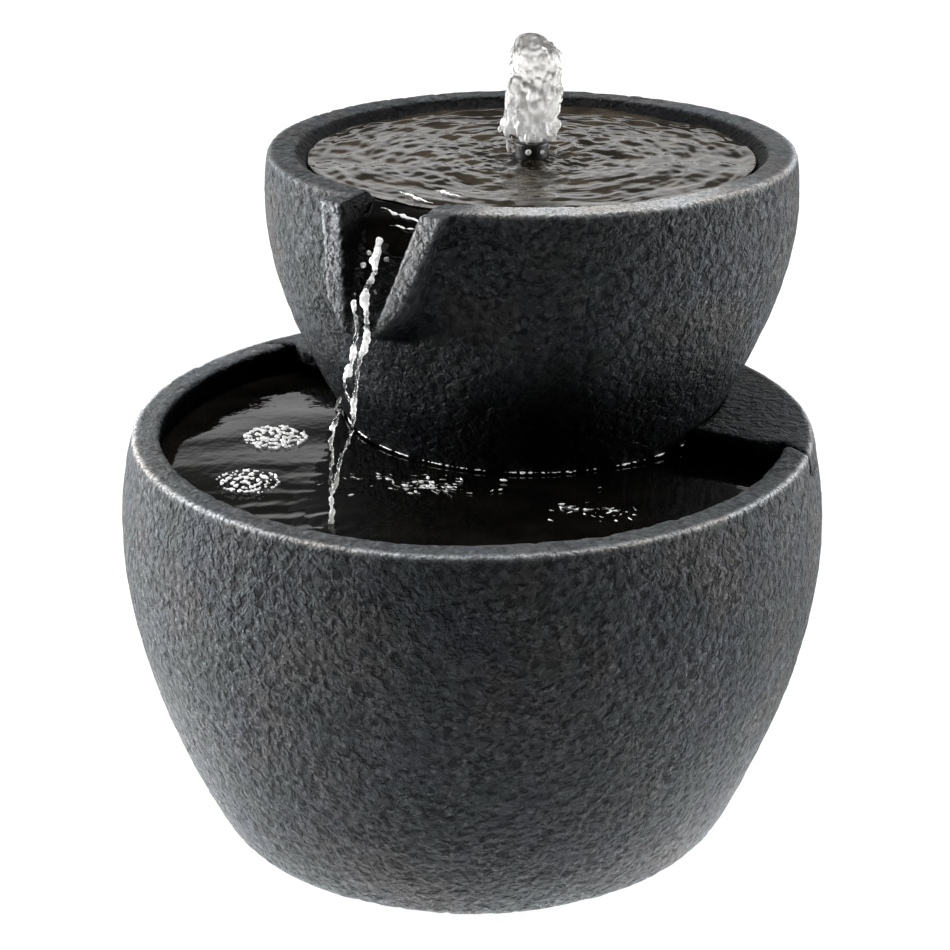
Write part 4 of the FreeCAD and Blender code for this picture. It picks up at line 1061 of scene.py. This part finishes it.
def tongue_mesh():
    """Thin closed sheet that follows the channel from the dish to where the strands begin."""
    points, faces = [], []
    for level in (0, 1):
        for row, (y, z, half) in enumerate(TONGUE):
            for step in range(TONGUE_STEPS + 1):
                across = 2 * step / TONGUE_STEPS - 1
                ripple = 0.0006 * math.sin(row * 1.9 + across * 3.0)
                ripple += 0.0005 * wobble(across * 4.0, row * 0.9, 2.0)
                under = -TONGUE_THICKNESS if level else 0.0
                points.append((across * half, y, z + ripple + under + 0.0006 * across ** 4))
    width = TONGUE_STEPS + 1
    sheet = width * len(TONGUE)
    for row in range(len(TONGUE) - 1):
        for step in range(TONGUE_STEPS):
            a = row * width + step
            faces.append((a, a + 1, a + width + 1, a + width))
            faces.append((sheet + a, sheet + a + width, sheet + a + width + 1, sheet + a + 1))
    rim = list(range(width)) + [row * width + width - 1 for row in range(1, len(TONGUE))]
    rim += [(len(TONGUE) - 1) * width + step for step in range(width - 2, -1, -1)]
    rim += [row * width for row in range(len(TONGUE) - 2, 0, -1)]
    for a, b in zip(rim, rim[1:] + rim[:1]):
        faces.append((b, a, sheet + a, sheet + b))
    mesh = bpy.data.meshes.new("tongue")
    mesh.from_pydata(points, [], faces)
    mesh.shade_smooth()
    return mesh


tongue = new_piece("tongue", tongue_mesh(), "upper_bowl")
tongue.data.materials.append(pool_finish)
finer = tongue.modifiers.new("finer", "SUBSURF")
finer.levels = finer.render_levels = 2
print("tongue of", len(TONGUE), "rows over the sill")

# %% [markdown]
# Air that the fall drags under comes up as two bright rounds of foam in the left arm of the pool. Each is a
# lace of merged bubbles with dark water showing through. In one of them the bubbles lie in rings.

# %% Foam
FOAM_VOXEL = 0.00038
BUBBLE_TRIES = 1500
FLOATING = 0.0006


def froth_piece(name, balls, voxel, body):
    """Welds balls of froth and puts them in the scene."""
    mesh = welded(name, balls, voxel, 1)
    mesh.materials.append(foam_and_highlight_finish)
    piece = new_piece(name, mesh, body)
    print(name, len(mesh.vertices), "points")


def foam_round(name, middle_x, middle_y, size, seed, arcs):
    """A flat round of merged bubbles; arcs leaves gaps in rings."""
    chance = random.Random(seed)
    balls = []
    for _ in range(BUBBLE_TRIES):
        angle = chance.uniform(0, math.tau)
        reach = size * math.sqrt(chance.random())
        x, y = polar(reach, angle)
        hole = wobble(x * 330.0, y * 330.0, seed)
        ring = math.sin(reach * 1150.0 + math.sin(angle) * 1.5) if arcs else 0.5
        if hole < 0.02 or ring < -0.15:
            continue
        radius = chance.uniform(0.00045, 0.00085)
        balls.append(ball(middle_x + x, middle_y + y, POOL_LEVEL + FLOATING, radius, 0.8))
    froth_piece(name, balls, FOAM_VOXEL, "basin")


foam_round("foam_rear", -0.098, -0.056, 0.0185, 3, False)
foam_round("foam_front", -0.071, -0.119, 0.0175, 8, True)

# %% [markdown]
# Painted highlights, made as thin white lines of froth, lie on the water where it runs towards the sill, and
# short ones are scattered as painted glints over the pool's choppy spots and between them. Each line wavers
# and is thinner at both ends.

# %% Painted highlights as lines of froth
FROTH_VOXEL = 0.0004
LINE_STEP = 0.0006
THINNEST = 0.00035
# painted highlights: white lines where light glints on the water at the sill and in the dish
PAINTED_HIGHLIGHT_LINES = [
    ((-0.0140, -0.0690, 0.3704), (0.0160, -0.0745, 0.3672), 0.0014),
    ((-0.0030, -0.0775, 0.3645), (0.0130, -0.0775, 0.3645), 0.0010),
    ((-0.0186, -0.0438, 0.3728), (0.0091, -0.0559, 0.3728), 0.0013),
    ((-0.0028, -0.0318, 0.3728), (0.0147, -0.0359, 0.3728), 0.0014),
]


def bright_line(start, end, thick, seed):
    """Balls along a wavering bright line, made as froth, thinner at both ends."""
    balls = []
    steps = int(math.dist(start, end) / LINE_STEP)
    for step in range(steps + 1):
        share = step / steps
        x, y, z = (a + (b - a) * share for a, b in zip(start, end))
        waver = wobble(step * 0.09, seed, 0) * 0.0024
        taper = math.sin(math.pi * (0.06 + 0.88 * share))
        radius = thick * taper * (0.70 + 0.9 * wobble(step * 0.21, seed, 3.0))
        balls.append(ball(x, y + waver, z, max(radius, THINNEST), 0.7))
    return balls


def glint_squiggles(middle_x, middle_y, count, spread_across, spread_ahead, seed):
    """Painted glints: short white lines, made as froth, that lie across the view, scattered round a middle."""
    chance = random.Random(seed)
    balls = []
    for number in range(count):
        middle = VIEW_ACROSS * chance.gauss(0, spread_across) + VIEW_AHEAD * chance.gauss(0, spread_ahead)
        half = VIEW_ACROSS * chance.uniform(0.0004, 0.0019) + VIEW_AHEAD * chance.uniform(-0.0018, 0.0010)
        start, end = middle - half, middle + half
        level = POOL_LEVEL + FLOATING
        balls += bright_line(
            (middle_x + start.x, middle_y + start.y, level), (middle_x + end.x, middle_y + end.y, level),
            chance.uniform(0.0004, 0.0010), seed + number * 1.7
        )
    return balls


highlight_line_balls = [part for number, line in enumerate(PAINTED_HIGHLIGHT_LINES) for part in bright_line(*line, number)]
froth_piece("painted_highlight_lines", highlight_line_balls, FROTH_VOXEL, "upper_bowl")

# painted glints on the pool's choppy spots and between them
glint_balls = glint_squiggles(0.016, -0.073, 70, 0.010, 0.006, 21)
glint_balls += glint_squiggles(0.109, -0.060, 50, 0.011, 0.005, 22)
glint_balls += glint_squiggles(-0.008, -0.080, 22, 0.016, 0.008, 23)
glint_balls += glint_squiggles(0.050, -0.040, 8, 0.026, 0.010, 24)
froth_piece("painted_glint_lines", glint_balls, FROTH_VOXEL, "basin")

# %% [markdown]
# Where the upper bowl's foot meets the pool, the water climbs a little, and its sparkle is a painted
# highlight: a thin broken line of white froth. Noise along the line decides where it breaks and how thick it
# is.

# %% Painted highlight along the waterline
WATERLINE_VOXEL = 0.0005
WATERLINE_RADIUS = 0.1082
WATERLINE_STEPS = 760
WATERLINE_START = math.pi * 1.02
WATERLINE_TURN = math.pi * 0.96
WATERLINE_BREAK = 0.06


def waterline_balls():
    balls = []
    for step in range(WATERLINE_STEPS):
        angle = WATERLINE_START + WATERLINE_TURN * step / WATERLINE_STEPS
        strength = wobble(step * 0.035, 0, 6.0)
        strength += 0.8 * wobble(step * 0.19, 3.0, 1.0)
        if strength < WATERLINE_BREAK:
            continue
        radius = 0.00032 + 0.0010 * min(0.7, strength)
        away = WATERLINE_RADIUS + 0.0012 * wobble(step * 0.27, 1.0, 9.0)
        x, y = polar(away, angle)
        balls.append(ball(x, AXIS_Y + y, POOL_LEVEL + 0.0005, radius, 0.8))
    return balls


froth_piece("painted_waterline_highlight", waterline_balls(), WATERLINE_VOXEL, "basin")

# %% [markdown]
# The pump, its tubes and its seals hide under the deck; only the nozzle and the lead's grommet show. They
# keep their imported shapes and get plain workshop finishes: moulded plastic with a fine texture, dusty rubber,
# drawn tube, a sintered magnet, and turned steel with fine lines. Each moulded finish has a dark colour, a
# pale one and a roughness.

# %% Finishes of the hidden pieces
MOULDED = {
    "black_plastic": (rgb(0.010, 0.010, 0.011), rgb(0.020, 0.020, 0.021), 0.38),
    "white_plastic": (rgb(0.62, 0.61, 0.57), rgb(0.72, 0.71, 0.67), 0.36),
    "grey_tube": (rgb(0.10, 0.105, 0.11), rgb(0.14, 0.145, 0.15), 0.22),
    "rubber": (rgb(0.014, 0.014, 0.014), rgb(0.034, 0.033, 0.032), 0.62),
    "ferrite": (rgb(0.05, 0.05, 0.052), rgb(0.10, 0.10, 0.10), 0.5),
}


def moulded_finish(name, dark, pale, roughness):
    finish = Finish(name)
    texture = finish.grain(1500.0, 3.0, 0.6)
    colour = finish.blend(finish.grain(90.0, 4.0).between(0.3, 0.7), dark, pale)
    normal = finish.bump(texture, 0.0002, 0.35)
    dull = roughness + 0.12 * texture
    return finish.close(finish.shader(Base_Color=colour, Roughness=dull, Normal=normal))


def turned_steel_finish():
    finish = Finish("turned_steel")
    drawn_out = {"Vector": finish.place, "Scale": (40.0, 2200.0, 40.0)}
    lines = finish.grain(1.0, 4.0, 0.7, finish.node("Mapping", drawn_out))
    colour = finish.blend(lines.between(0.3, 0.7), rgb(0.42, 0.43, 0.44), rgb(0.62, 0.62, 0.61))
    normal = finish.bump(lines, 0.0001, 0.25)
    dull = 0.24 + 0.2 * lines
    return finish.close(finish.shader(Base_Color=colour, Metallic=1.0, Roughness=dull, Normal=normal))


finishes = {slot: moulded_finish(slot, *look) for slot, look in MOULDED.items()}
finishes["steel"] = turned_steel_finish()

finished = [part for part in frame["record"]["subparts"] if part["material_slot"] in finishes]
for part in finished:
    mesh = nodes[part["node"]].data
    mesh.materials.clear()
    mesh.materials.append(finishes[part["material_slot"]])
print("finished", len(finished), "pieces that keep their packed shapes")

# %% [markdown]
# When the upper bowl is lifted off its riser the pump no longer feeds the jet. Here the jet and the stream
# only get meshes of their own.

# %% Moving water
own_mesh(jet)
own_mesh(stream)

# %% [markdown]
# Last come the colour settings.

# %% Colour settings
scene.view_settings.view_transform = "Standard"
